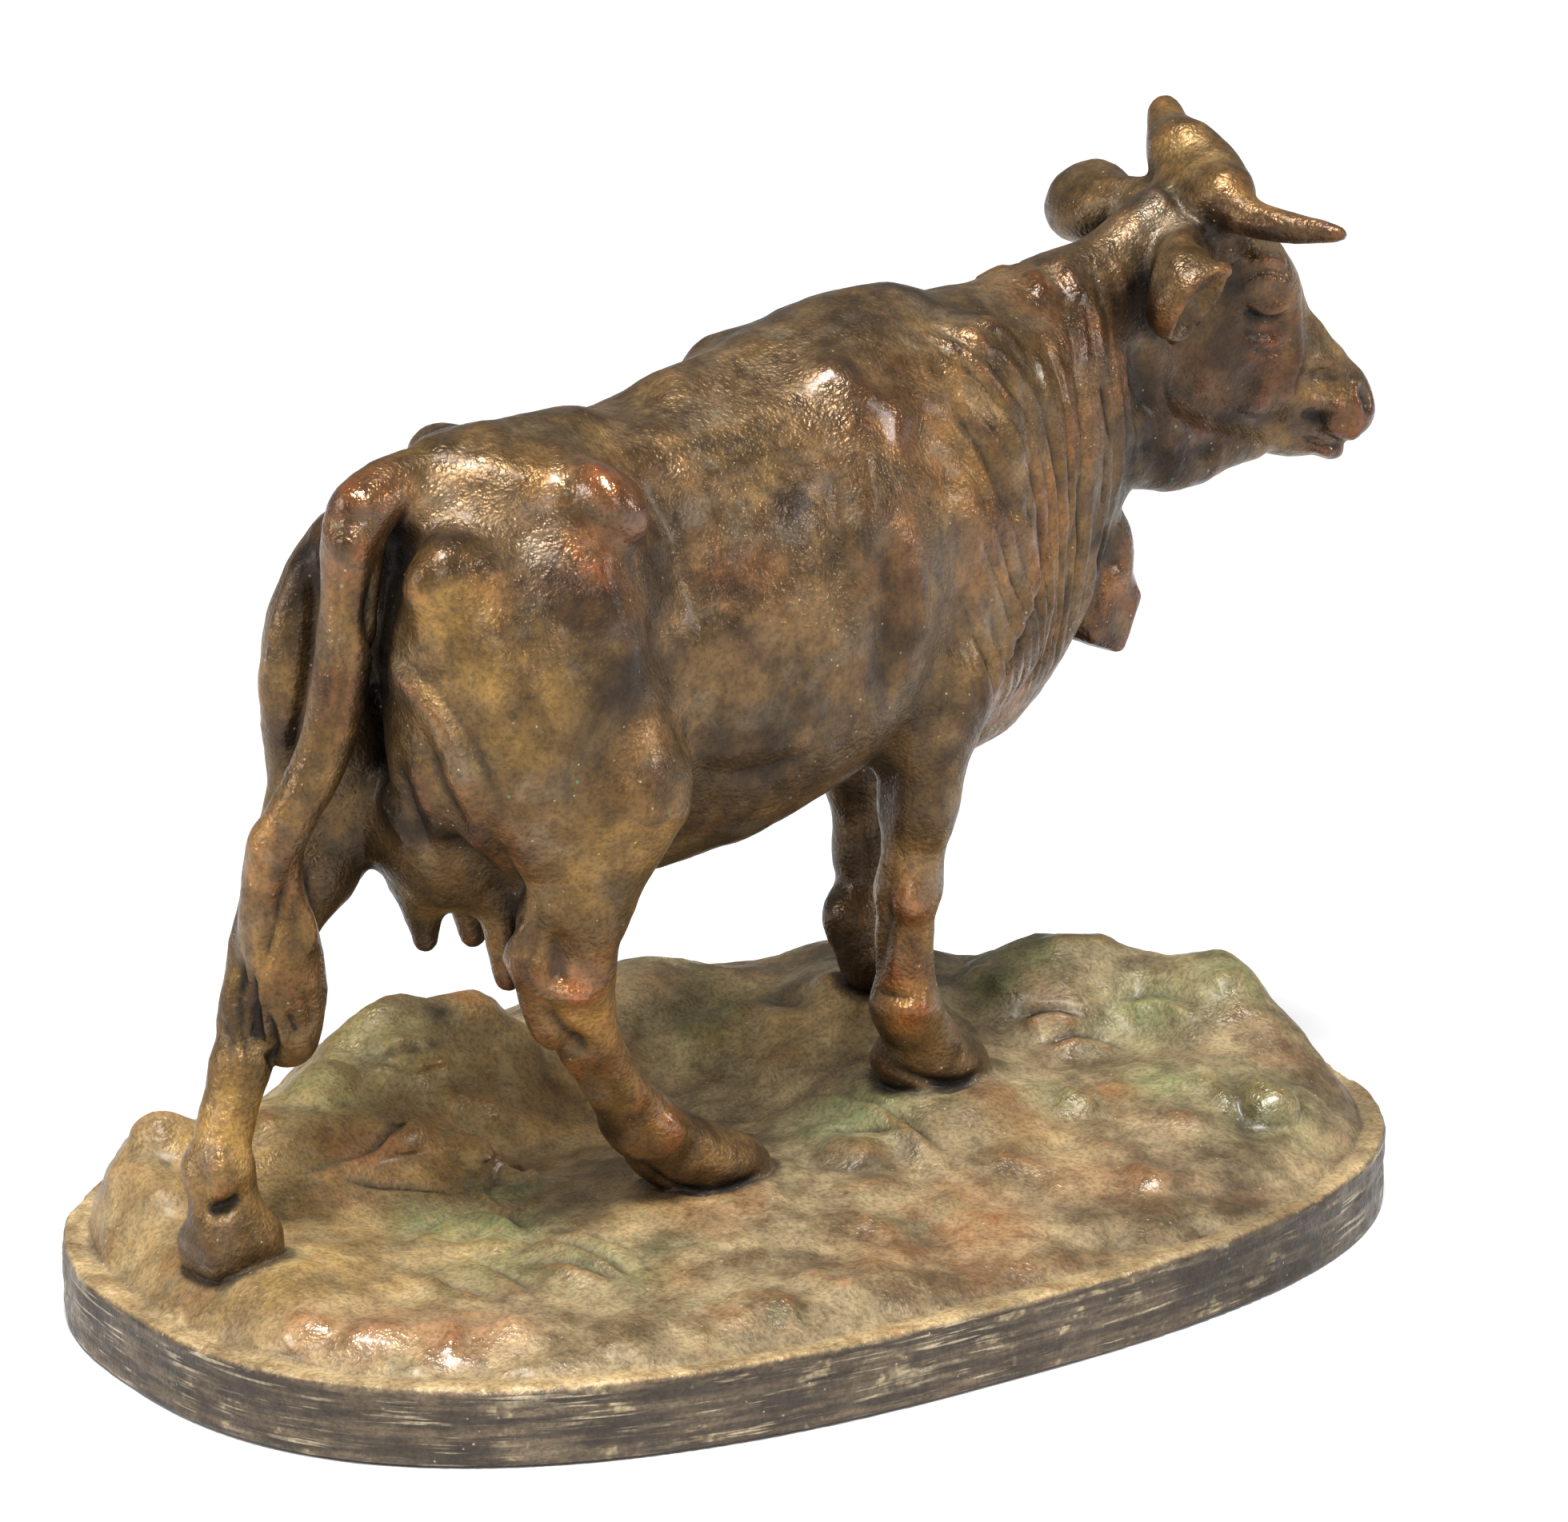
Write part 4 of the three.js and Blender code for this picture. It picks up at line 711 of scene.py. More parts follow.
fold([(-131, -68, 37), (-123, -81, 37), (-117, -95, 36)], 4, 2.8, 1.2)  # leaf 4
fold([(-110, -52, 40), (-105, -64, 40), (-101, -78, 39)], 4, 3, 1.2)  # leaf 5
fold([(-149, -51, 36), (-146, -65, 36), (-144, -82, 35)], 4, 2.6, 1.2)  # leaf 6
fold([(-167, -53, 36), (-165, -68, 35), (-157, -79, 35)], 4, 2.6, 1.2)  # leaf 7
fold([(-219, -61, 35), (-214, -69, 34)], 4.5, 2.2)  # wet bump
fold([(-207, -72, 35), (-199, -81, 34), (-191, -87, 34)], 4.5, 2.2)  # wet bump 2
fold([(-178, -90, 34), (-167, -91, 34), (-161, -108, 34)], 4.5, 2.2)  # wet bump 3
fold([(-181, -93, 34), (-186, -104, 31)], 3.4, 2.6)  # drip
fold([(-202, 63, 65), (-193, 62, 61)], 8, 3.6)  # left clods
fold([(-220, 64, 50), (-217, 52, 55)], 7, 2.4)  # left clods 2
fold([(-220, 42, 48), (-213, 36, 50)], 7, 2)  # left clods 3
fold([(-214, 57, 59), (-208, 48, 59)], 6, -3)  # left hollow
fold([(-238, 6, 29), (-241, -6, 27)], 2, 1.6)  # tufts
fold([(-238, -2, 29), (-243, -17, 27)], 2, 1.6)  # tufts 2
fold([(-237, -10, 30), (-242, -22, 27)], 2, 1.4)  # tufts 3
fold([(-116, 66, 67), (-102, 64, 67), (-83, 65, 67)], 5, 3, 2)  # shelf
fold([(-133, 79, 64), (-131, 67, 64)], 8, 4)  # green lump
fold([(-161, 63, 62), (-166, 48, 60)], 5, 2.4)  # green lump 2
fold([(-117, 49, 56), (-99, 48, 52)], 7, 2.4)  # mid clod
fold([(-89, 54, 56), (-76, 51, 50)], 6, 2)  # mid clod 2
fold([(34, 65, 55), (48, 58, 60), (46, 31, 62)], 11, 4.5, 1.5)  # big stone
fold([(30, 43, 51), (35, 26, 53)], 9, 2.6)  # big stone 2
fold([(15, -3, 44), (28, -24, 51), (31, -53, 49), (33, -74, 44)], 4, 4, 2.2)  # flat stone
fold([(11, -34, 46), (21, -44, 48), (31, -56, 48)], 1.6, -1.8)  # crack
fold([(4, -43, 44), (14, -62, 43)], 7, 2.2)  # flat stone 2
fold([(101, -62, 49), (103, -67, 48)], 6, 5)  # orange clod
fold([(92, -91, 41), (99, -97, 40)], 7, 3)  # pale clod
fold([(93, -115, 36), (95, -121, 36)], 7, 4)  # pale clod 2
fold([(127, -89, 45), (132, -94, 44)], 6, 2.6)  # pale clod 3
fold([(165, -87, 46), (165, -99, 43)], 9, 6)  # green clod
fold([(152, -78, 49), (153, -87, 47)], 7, 3.6)  # green clod 2
fold([(169, -74, 49), (156, -90, 46), (147, -105, 41)], 4, -3)  # clod gap
fold([(129, 4, 53), (139, 0, 56), (147, -8, 53)], 4, 3.6, 1.6)  # arc
fold([(130, -12, 47), (146, -15, 49), (154, -27, 47)], 4, 3.2, 1.4)  # arc 2
fold([(165, -9, 56), (176, -14, 58), (181, -34, 57)], 5, 3.4, 1.4)  # arc 3
fold([(193, -26, 66), (210, -32, 68)], 6, 2.6)  # arc 4
fold([(133, 34, 64), (134, 26, 64)], 5, 3.4)  # bump a
fold([(163, 24, 75), (177, 20, 73)], 7, 4)  # bump b
fold([(50, -46, 100), (125, 35, 61)], 6, 2.4)  # bump c
fold([(94, -126, 35), (112, -134, 34), (147, -127, 33)], 8, -3.2)  # rim hollow
fold([(30, -141, 33), (48, -145, 32), (72, -141, 33)], 7, -2.6)  # rim hollow 2
fold([(-7, -77, 40), (8, -80, 39)], 8, 3)  # front bump
fold([(-16, -97, 38), (-13, -104, 37)], 7, 3)  # front bump 2
fold([(-58, -126, 35), (-53, -135, 34)], 7, 3)  # front bump 3
fold([(-84, -127, 35), (-77, -135, 34)], 7, 2.4)  # front bump 4
fold([(21, -99, 37), (25, -112, 35)], 8, 2.6)  # front bump 5
fold([(53, -84, 43), (61, -92, 41)], 6, 2.4)  # front bump 6
fold([(-1, -102, 37), (-3, -123, 35)], 7, -2.6)  # front hollow
fold([(-50, -101, 38), (-43, -110, 37)], 7, -2.4)  # front hollow 2
fold([(54, 93, 65), (64, 87, 63)], 8, 2.6)  # back clod
fold([(66, 39, 74), (67, 25, 72)], 7, 2.2)  # back clod 2
fold([(56, 60, 64), (52, 34, 66)], 6, -2.2)  # back hollow
use = BODY, ORIGIN

# ---- finer relief over everything --------------------------------------------
land = step(-4, 3, field_gap(V))
body = 1 - land
inset = (1 - oval(V[:, 0], V[:, 1])) * np.hypot(V[:, 0], V[:, 1])
edge_side = step(1.4, 0.2, inset) * step(27, 25.0, V[:, 2]) * step(0.3, 2.5, V[:, 2])
ledge = land * step(10.5, 8.5, inset) * step(20, 26, V[:, 2])
soil = land * step(8.0, 11.5, inset) * step(20, 28, V[:, 2])

lift += body * (0.7 * noise(V, 26, 1) + 0.42 * noise(V, 11, 2) + 0.22 * noise(V, 5.5, 3) + 0.12 * noise(V, 3.2, 19))
lift += soil * (1.5 * noise(V, 30, 4) + 1.0 * noise(V, 14, 5) + 0.5 * noise(V, 7, 6) + 0.3 * noise(V, 4, 7))
warp = V * np.array([0.6, 1.0, 1.0]) + 7 * np.stack([noise(V, 24, 8), noise(V, 24, 20), noise(V, 24, 21)], 1)
lift += soil * (2.6 * (0.45 - np.abs(noise(warp, 24, 9))) + 0.9 * (0.45 - np.abs(noise(warp, 11, 22))))   # soft creases

# skin of the neck: rows of folds that lean less towards the head
C = (V - ORIGIN) @ BODY
skin = body * step(38, 62, C[:, 0]) * step(153, 140, C[:, 0]) * step(188, 208, C[:, 2]) * step(344, 322, C[:, 2]) * step(16, 28, np.abs(C[:, 1] + 3))
lean = 0.58 * step(128, 62, C[:, 0])
rows = C[:, 0] + lean * (C[:, 2] - 275) + 0.0016 * (C[:, 2] - 275) ** 2 * step(90, 60, C[:, 0])
turn = rows / 9.5 + 0.42 * noise(V, 34, 23) + 0.12 * noise(V, 12, 24)
lift += skin * (1.9 * np.abs(np.sin(np.pi * turn)) ** 0.8 - 1.2) * (0.6 + 0.5 * noise(V, 26, 25)) * 1.5
lift += skin * 0.35 * np.abs(np.sin(np.pi * (turn * 2.3 + 0.3)))
# faint upright strokes of the modelling tool on the trunk and thighs
tall = V * np.array([1.0, 1.0, 0.22])
lift += body * (0.22 * noise(tall, 6, 26) + 0.2 * noise(tall, 12, 27))
lift += ledge * (0.45 * noise(V, 16, 10) + 0.22 * noise(V, 6, 11))
lift -= land * 0.9 * np.exp(-((inset - 9.3) / 2.0) ** 2) * step(24, 27, V[:, 2]) * (0.6 + 0.4 * noise(V, 24, 12))
brush = V * np.array([0.05, 0.05, 0.62])
lift += edge_side * (0.32 * noise(brush, 1.0, 13) + 0.2 * noise(brush * 1.9, 1.0, 14)) * (0.35 + 0.65 * step(120, -60, V[:, 0]))
peel = step(0.15, 0.35, noise(V * np.array([1, 1, 1.6]), 15, 15) + 0.5 * noise(V, 6, 16))
lift -= edge_side * 0.45 * peel * step(-120, 60, V[:, 0] * 0.6 + 40)
corner = np.exp(-((inset - 0.8) / 1.6) ** 2) * step(24.5, 26.5, V[:, 2]) * land
lift -= corner * 1.1 * step(0.25, 0.5, noise(V, 8, 17) + 0.4 * noise(V, 3.5, 18))   # chips along the upper edge
lift = np.where(V[:, 2] < 0.4, 0.0, lift)

V = V + N * lift[:, None]
N = normals(V, Q)

# how far each point stands out of its smoothed surroundings, at two sizes
small = ((V - relax(V, Q, 3)) * N).sum(1)
middle = ((V - relax(V, Q, 40)) * N).sum(1)
small, middle = relax(small, Q, 1)[:, 0], relax(middle, Q, 2)[:, 0]


# ---- the piece ----------------------------------------------------------------
mesh = bpy.data.meshes.new("cow_sculpture_surface")
mesh.vertices.add(len(V))
mesh.vertices.foreach_set("co", (V / 1000).astype(F).ravel())
mesh.loops.add(Q.size)
mesh.loops.foreach_set("vertex_index", Q.astype(np.int32).ravel())
mesh.polygons.add(len(Q))
mesh.polygons.foreach_set("loop_start", np.arange(0, Q.size, 4, dtype=np.int32))
mesh.update(calc_edges=True)
cow = bpy.data.objects.new("cow_sculpture_surface", mesh)
bpy.context.scene.collection.objects.link(cow)
fine = cow.vertex_groups.new(name="fine")
HC = (V - HEAD_O) @ HEAD
keep_fine = step(40, 15, np.abs(HC[:, 1])) * step(-20, 0, HC[:, 0]) * step(-95, -70, HC[:, 2])
for level in (0.25, 0.5, 0.75, 1.0):
    chosen = np.flatnonzero((keep_fine > level - 0.125) & (keep_fine <= level + 0.125))
    fine.add(chosen.tolist(), level, "REPLACE")
for name, values in (("small", small), ("middle", middle), ("lift", lift), ("groove_shade", groove_shade), ("crest", crest)):
    mesh.attributes.new(name, "FLOAT", "POINT").data.foreach_set("value", values.astype(F))
thin = cow.modifiers.new("thin", "DECIMATE")
thin.ratio = KEEP / (2 * len(Q))
thin.vertex_group, thin.vertex_group_factor, thin.invert_vertex_group = "fine", 1.5, True
thin.use_collapse_triangulate = True
bpy.context.view_layer.update()
done = bpy.data.meshes.new_from_object(cow.evaluated_get(bpy.context.evaluated_depsgraph_get()))
cow.modifiers.clear()
cow.vertex_groups.clear()
cow.data = done
bpy.data.meshes.remove(mesh)
mesh = done
mesh.name = "cow_sculpture_surface"
mesh.polygons.foreach_set("use_smooth", np.ones(len(mesh.polygons), bool))

P = np.empty(len(mesh.vertices) * 3, F)
mesh.vertices.foreach_get("co", P)
P = P.reshape(-1, 3) * 1000
PN = np.empty(len(P) * 3, F)
mesh.vertices.foreach_get("normal", PN)
PN = PN.reshape(-1, 3).astype(float)


def carried(name):
    out = np.empty(len(P), F)
    mesh.attributes[name].data.foreach_get("value", out)
    return out


def in_blocks(p, fn, size=14.0):
    out = np.empty(len(p), F)
    for i in blocks(np.floor((p - LOW + 30) / size).astype(int), 1):
        out[i] = fn(p[i].astype(F))
    return out


COARSE = 6.0
coarse_n = np.ceil((HIGH - LOW + 80) / COARSE).astype(int)
coarse_grid = np.stack(np.meshgrid(*[np.arange(v) for v in coarse_n], indexing="ij"), -1).reshape(-1, 3)
coarse = np.empty(len(coarse_grid), F)
for i in blocks(coarse_grid, 6):
    coarse[i] = field((LOW - 40 + coarse_grid[i] * COARSE).astype(F))
coarse = coarse.reshape(coarse_n)


def field_from_grid(p):
    g = np.clip((p - LOW + 40) / COARSE, 0, np.array(coarse_n) - 1.001)
    i = g.astype(int)
    f = g - i
    out = 0.0
    for dx in (0, 1):
        for dy in (0, 1):
            for dz in (0, 1):
                w = (f[:, 0] if dx else 1 - f[:, 0]) * (f[:, 1] if dy else 1 - f[:, 1]) * (f[:, 2] if dz else 1 - f[:, 2])
                out = out + w * coarse[i[:, 0] + dx, i[:, 1] + dy, i[:, 2] + dz]
    return out


# how open each point is to the air, close by and farther off
sunk = carried("lift") * 0.9
near_open = sum(share * np.clip((in_blocks(P + PN * reach, field, 20.0) - sunk) / reach, 0, 1) for reach, share in ((3, 0.5), (7, 0.5)))
wide_open = sum(share * np.clip(field_from_grid(P + PN * reach) / reach, 0, 1) for reach, share in ((16, 0.5), (34, 0.5)))

ground_share = step(-3, 3, in_blocks(P, field_gap_points))
inset = (1 - oval(P[:, 0], P[:, 1])) * np.hypot(P[:, 0], P[:, 1])
side_share = step(1.6, 0.4, inset) * step(27.2, 25.6, P[:, 2])
ledge_share = ground_share * step(11.0, 8.0, inset) * (1 - side_share) * step(24, 25, P[:, 2])


def patches(rows, frame_of=(BODY, ORIGIN)):
    """Soft spots, given one by one: x, y, z, radius, strength."""
    out = np.zeros(len(P))
    for x, y, z, r, s in rows:
        c = frame_of[0] @ np.array([x, y, z], float) + frame_of[1]
        out = np.maximum(out, s * np.exp(-(((P - c) / r) ** 2).sum(1)))
    return out


# ---- where each finish gathers (animal frame unless said otherwise) -------------
BASE = (np.eye(3), np.zeros(3))
HEADF = (HEAD, HEAD_O)
ochre = patches([
    (-172, -30, 272, 26, 1.0), (-150, -45, 240, 30, 0.8), (-150, 10, 312, 24, 0.5), (-120, -30, 316, 26, 0.55), (-110, -60, 190, 30, 0.7),
    (-120, -44, 160, 26, 0.9), (-112, -40, 125, 24, 1.0), (-90, -36, 95, 20, 0.7), (-215, 24, 90, 34, 1.0), (-200, 30, 140, 28, 0.8),
    (-186, 6, 215, 26, 0.6), (-202, 16, 150, 26, 0.9), (-140, 5, 180, 30, 0.6), (40, -60, 235, 30, 0.35), (60, -50, 300, 26, 0.5),
    (100, -45, 290, 28, 0.6), (110, -45, 250, 24, 0.5), (44, -42, 140, 30, 0.45), (38, -38, 80, 20, 0.3), (100, -20, 190, 26, 0.4),
    (-165, 45, 240, 40, 0.8), (-180, 45, 200, 34, 0.9), (-187, -4, 257, 16, 0.6), (-193, 4, 224, 16, 0.7), (-205, 15, 196, 16, 0.8), (-202, 8, 148, 16, 1.0),
    (-199, 10, 124, 14, 0.9), (-203, 16, 118, 12, 0.8), (-219, 21, 104, 20, 0.9), (-224, 15, 81, 18, 0.9), (-226, 17, 63, 14, 0.4), (41, -41, 124, 16, 0.8),
    (37, -41, 89, 14, 0.7), (52, -40, 58, 12, 0.4), (-79, -40, 75, 18, 0.7), (-58, -40, 56, 14, 0.5), (-133, -12, 144, 16, 0.8)])
ochre = np.maximum(ochre, patches([(6, -52, -34, 20, 0.7), (90, 0, -14, 22, 0.7), (20, 0, 2, 22, 0.5), (20, -10, -60, 20, 0.3), (0, 46, -39, 24, 0.35), (1, -30, -2, 12, 0.6), (10, -40, 5, 12, 0.6),
                                    (-11, 8, -3, 16, 0.7), (-7, -5, -2, 14, 0.7), (-6, -21, -2, 12, 0.6), (-9, 37, 7, 14, 0.6)], HEADF))
copper = patches([
    (-110, -44, 310, 14, 1.0), (-101, -56, 296, 13, 1.0), (-122, -52, 282, 15, 1.0), (-176, -4, 300, 16, 0.95), (-183, -4, 284, 10, 0.7),
    (-60, -66, 270, 16, 0.7), (-80, -64, 290, 12, 0.4), (-160, -40, 286, 12, 0.4), (-186, 0, 240, 14, 0.5), (-104, -70, 215, 18, 0.35),
    (-200, 10, 180, 14, 0.7), (-196, 6, 140, 12, 0.7), (-128, -52, 140, 16, 0.9), (-112, -50, 110, 14, 0.8), (-80, -40, 76, 14, 0.7),
    (-148, -34, 190, 16, 0.5), (-118, -12, 145, 14, 0.6), (20, -58, 300, 30, 0.35), (60, -50, 262, 20, 0.45), (92, -46, 262, 24, 0.5),
    (118, -36, 290, 20, 0.6), (130, -34, 320, 20, 0.6), (145, -32, 300, 14, 0.7), (86, -48, 205, 12, 0.9), (70, -52, 198, 12, 0.8),
    (34, -42, 128, 14, 0.7), (31, -38, 105, 12, 0.8), (35, -42, 90, 10, 0.7), (165, -14, 215, 20, 0.8), (96, -30, 200, 16, 0.6), (120, -20, 340, 16, 0.6)])
copper = np.maximum(copper, patches([
    (41, -26, -18, 11, 0.8), (56, -24, -33, 12, 0.7), (70, -20, -40, 14, 0.6), (108, -14, -30, 12, 0.4), (112, -10, -42, 9, 0.5),
    (40, -24, -62, 18, 0.5), (12, -30, -2, 16, 0.4), (60, -22, -62, 16, 0.5), (6, -58, -30, 9, 0.5)], HEADF))
# Dark spots, painted shade for the most part: gaps between tail, thigh and udder, under the belly, throat pockets, bell
# gap, hoof clefts
shade_and_grime_spots = patches([
    (-177, -11, 270, 8, 1.0), (-176, -8, 240, 8, 0.9), (-168, 0, 215, 9, 0.6), (-148, -30, 165, 12, 0.8), (-100, -56, 250, 16, 0.35),
    (150, -28, 280, 14, 0.7), (172, -24, 290, 16, 0.6), (160, -22, 260, 14, 0.7), (-214, 28, 130, 12, 0.7), (-228, 24, 56, 14, 0.6),
    (0, -44, 200, 18, 0.4), (146, -20, 238, 9, 1.0), (135, -33, 275, 8, 0.6),
    (161, -26, 299, 9, 1.0), (182, -25, 268, 9, 0.9), (196, -25, 268, 8, 0.8), (168, -26, 282, 11, 0.8), (150, -28, 258, 8, 0.7),
    (-118, -55, 265, 17, 0.5), (-118, -59, 243, 18, 0.55), (-131, -59, 219, 18, 0.45), (-150, -52, 227, 14, 0.3), (36, -56, 207, 20, 0.45), (9, -63, 236, 18, 0.35),
    (-1, -62, 266, 16, 0.25), (160, -18, 241, 7, 0.6), (134, -32, 246, 8, 0.7), (35, -50, 180, 18, 0.4), (-50, -50, 200, 20, 0.4), (-20, -50, 195, 18, 0.35)])
# painted shade on the head: around the eye, nostril and mouth, on the cheek and under the jaw
shade_and_grime_spots = np.maximum(shade_and_grime_spots, patches([(28, -26, -26, 8, 0.8), (44, -25, -30, 6, 0.7), (20, -20, -50, 16, 0.5), (48, -24, -48, 24, 0.4), (60, -20, -66, 14, 0.5), (114, -13, -20, 4, 0.9), (101, -11, -36, 5, 0.7), (40, -24, -65, 14, 0.45), (52, -26, -51, 12, 0.4),
                                  (57, -25, -67, 12, 0.4), (36, -43, -92, 18, 0.85), (62, -35, -89, 14, 0.8), (30, -37, -76, 14, 0.8), (72, -28, -74, 8, 0.4)], HEADF))
red = patches([(30, -52, 300, 26, 0.7), (-90, -50, 300, 30, 0.5), (-100, -60, 275, 22, 0.6), (10, -60, 260, 30, 0.4), (-60, -64, 270, 20, 0.8), (-130, -30, 300, 22, 0.5), (-150, -42, 275, 18, 0.5)])
green = patches([
    (-136, -14, 39, 16, 0.95), (-124, -32, 39, 16, 0.9), (-101, -4, 40, 15, 0.8), (-113, -74, 38, 14, 0.6), (-106, -92, 38, 12, 0.5), (-140, -60, 38, 20, 0.5),
    (-112, 70, 72, 24, 0.55), (-136, 62, 62, 18, 0.7), (30, 62, 57, 22, 0.5), (24, -34, 50, 20, 0.9), (150, 28, 75, 14, 0.7), (132, 24, 63, 12, 0.7),
    (176, -16, 56, 18, 0.85), (202, -26, 68, 20, 0.6), (140, -68, 51, 16, 0.8), (163, -92, 46, 20, 0.9), (166, 40, 70, 30, 0.4), (100, -60, 50, 12, 0.5)], BASE)
glaze = patches([(-219, -65, 34, 10, 0.9), (-204, -81, 35, 11, 1.0), (-186, -92, 35, 13, 1.0), (-170, -99, 35, 12, 1.0), (-188, -104, 32, 5, 1.0),
    (-88, 10, 42, 14, 0.5), (-120, 60, 66, 16, 0.3), (94, -118, 38, 12, 0.6), (160, -92, 50, 14, 0.5), (-150, -84, 38, 16, 0.4), (120, -90, 44, 16, 0.4), (60, -110, 36, 14, 0.4), (-140, 30, 52, 12, 0.5)], BASE)
glaze = np.maximum(glaze, patches([
    (-112, -44, 310, 14, 1.0), (-104, -56, 298, 9, 0.7), (-174, -6, 299, 9, 1.0), (-183, -4, 284, 6, 0.8), (-160, -38, 288, 8, 0.8), (-128, -52, 138, 9, 1.0), (20, -52, 306, 11, 0.7),
    (4, -40, 322, 10, 0.6), (-60, -64, 276, 16, 0.5), (96, -40, 312, 12, 0.7), (112, -28, 333, 13, 0.9), (40, -58, 262, 10, 0.6), (-80, -40, 76, 8, 0.9), (165, -16, 223, 8, 1.0),
    (41, -44, 138, 8, 0.8), (45, -42, 88, 8, 0.7), (-186, 8, 172, 8, 0.7), (86, -50, 205, 9, 0.6), (60, -54, 232, 10, 0.6), (-176, 14, 150, 7, 0.6)]))
glaze = np.maximum(glaze, patches([(110, -12, -16, 8, 0.8), (112, -10, -40, 6, 0.7), (16, -36, 0, 8, 0.3)], HEADF))
sand = patches([(-190, 20, 52, 60, 0.9), (-120, 45, 52, 60, 0.8), (-60, 60, 56, 50, 0.6), (-200, -30, 40, 50, 0.7), (75, -77, 46, 20, 0.4), (40, 60, 60, 40, 0.3), (-66, 78, 78, 9, 1.0),
                (-114, 25, 46, 32, 0.9), (-100, 0, 40, 30, 0.6), (-48, 47, 41, 32, 0.9), (48, 32, 63, 24, 0.5), (-75, -46, 44, 24, 0.6), (-143, -30, 36, 26, 0.7)], BASE)
copper = np.maximum(copper, patches([(-140, 30, 54, 15, 0.9), (-118, 30, 50, 10, 0.6), (-64, 84, 84, 8, 0.7), (-66, 20, 44, 10, 0.4), (120, -62, 52, 10, 1.0), (-96, -98, 36, 10, 0.5), (20, -110, 36, 22, 0.5), (80, -112, 36, 18, 0.5), (-20, -120, 34, 20, 0.4),
                                      (-219, -65, 32, 12, 0.3), (-204, -81, 33, 13, 0.35), (-186, -92, 33, 15, 0.35), (-170, -99, 33, 14, 0.3)], BASE))
# painted shade on the base: behind the stone on the far bank and down the right side of the wall; along the front rim
# they also darken the soil itself
shade_and_grime_spots = np.maximum(shade_and_grime_spots, patches([(190, -78, 36, 15, 0.5), (150, -103, 34, 15, 0.55), (110, -118, 32, 13, 0.5), (60, -130, 32, 11, 0.4),
    (215, -50, 38, 14, 0.45), (232, -5, 38, 14, 0.4), (-224, 16, 54, 14, 0.85), (215, -75, 12, 45, 0.6), (120, -135, 12, 45, 0.5), (184, -99, 39, 16, 0.35), (176, -44, 52, 12, 0.3), (-79, 79, 76, 8, 1.0), (-94, 84, 80, 9, 0.6), (-212, 12, 44, 12, 0.5), (-30, -20, 46, 20, 0.25), (60, -20, 50, 14, 0.4), (-215, 40, 52, 14, 0.4)], BASE))
pale = np.maximum(patches([
    (-187, -4, 285, 14, 0.5), (-187, -4, 257, 16, 0.9), (-193, 4, 224, 16, 1.0), (-205, 15, 196, 18, 1.0), (-202, 8, 148, 18, 1.0), (-199, 10, 124, 16, 1.0), (-203, 16, 118, 14, 0.9),
    (-219, 21, 104, 22, 1.0), (-224, 15, 81, 20, 1.0), (-226, 17, 63, 14, 0.5), (41, -41, 124, 20, 0.8), (37, -41, 89, 18, 0.8), (52, -40, 58, 14, 0.5),
    (-120, -44, 122, 18, 0.4), (-79, -40, 75, 18, 0.4)]), patches([(5, -34, 0, 16, 0.8), (16, -50, 8, 12, 0.6), (-9, 20, 0, 20, 0.7), (-9, 37, 7, 16, 0.7)], HEADF))
# on the ground under the animal, pale is painted light that lifts the soil out of the body's shadow
pale = np.maximum(pale, patches([(-110, 30, 48, 44, 1.0), (-48, 47, 41, 50, 1.0), (48, 32, 60, 46, 0.9), (-70, -30, 42, 40, 0.6), (0, 60, 55, 40, 1.0), (-150, 60, 60, 30, 0.5)], BASE) * ground_share)
for name, values in (("near_open", near_open), ("wide_open", wide_open), ("ground", ground_share), ("side", side_share), ("ledge", ledge_share),
                     ("ochre", ochre), ("copper", copper), ("shade_and_grime_spots", shade_and_grime_spots), ("red", red), ("green", green), ("glaze", glaze), ("sand", sand), ("pale", pale)):
    mesh.attributes.new(name, "FLOAT", "POINT").data.foreach_set("value", np.asarray(values, F))


# ---- patina ---------------------------------------------------------------------
patina = bpy.data.materials.new("patina")
patina.use_nodes = True
tree_nodes, links = patina.node_tree.nodes, patina.node_tree.links
tree_nodes.clear()


def tone(r, g, b):
    """Display value 0..255 to linear colour."""
    return tuple((c / 255 / 12.92 if c / 255 <= 0.04045 else ((c / 255 + 0.055) / 1.055) ** 2.4) for c in (r, g, b)) + (1.0,)


def put(socket, value):
    if isinstance(value, bpy.types.NodeSocket):
        links.new(value, socket)
    else:
        socket.default_value = value


def node(kind, **options):
    n = tree_nodes.new(kind)
    for key, value in options.items():
        setattr(n, key, value)
    return n


def attribute(name):
    return node("ShaderNodeAttribute", attribute_name=name, attribute_type="GEOMETRY").outputs["Fac"]


def calc(kind, a, b=0.0, clamp=False):
    n = node("ShaderNodeMath", operation=kind, use_clamp=clamp)
    put(n.inputs[0], a)
    put(n.inputs[1], b)
    return n.outputs[0]


def ramp(value, low, high, to_low=0.0, to_high=1.0):
    n = node("ShaderNodeMapRange", interpolation_type="SMOOTHSTEP")
    for socket, v in zip(n.inputs, (value, low, high, to_low, to_high)):
        put(socket, v)
    return n.outputs["Result"]


def blendc(fac, a, b, kind="MIX"):
    n = node("ShaderNodeMix", data_type="RGBA", blend_type=kind)
    put(n.inputs[0], fac)
    put(n.inputs[6], a)
    put(n.inputs[7], b)
    return n.outputs[2]


def blendf(fac, a, b):
    n = node("ShaderNodeMix", data_type="FLOAT")
    put(n.inputs[0], fac)
    put(n.inputs[2], a)
    put(n.inputs[3], b)
    return n.outputs[0]


place = node("ShaderNodeTexCoord").outputs["Object"]


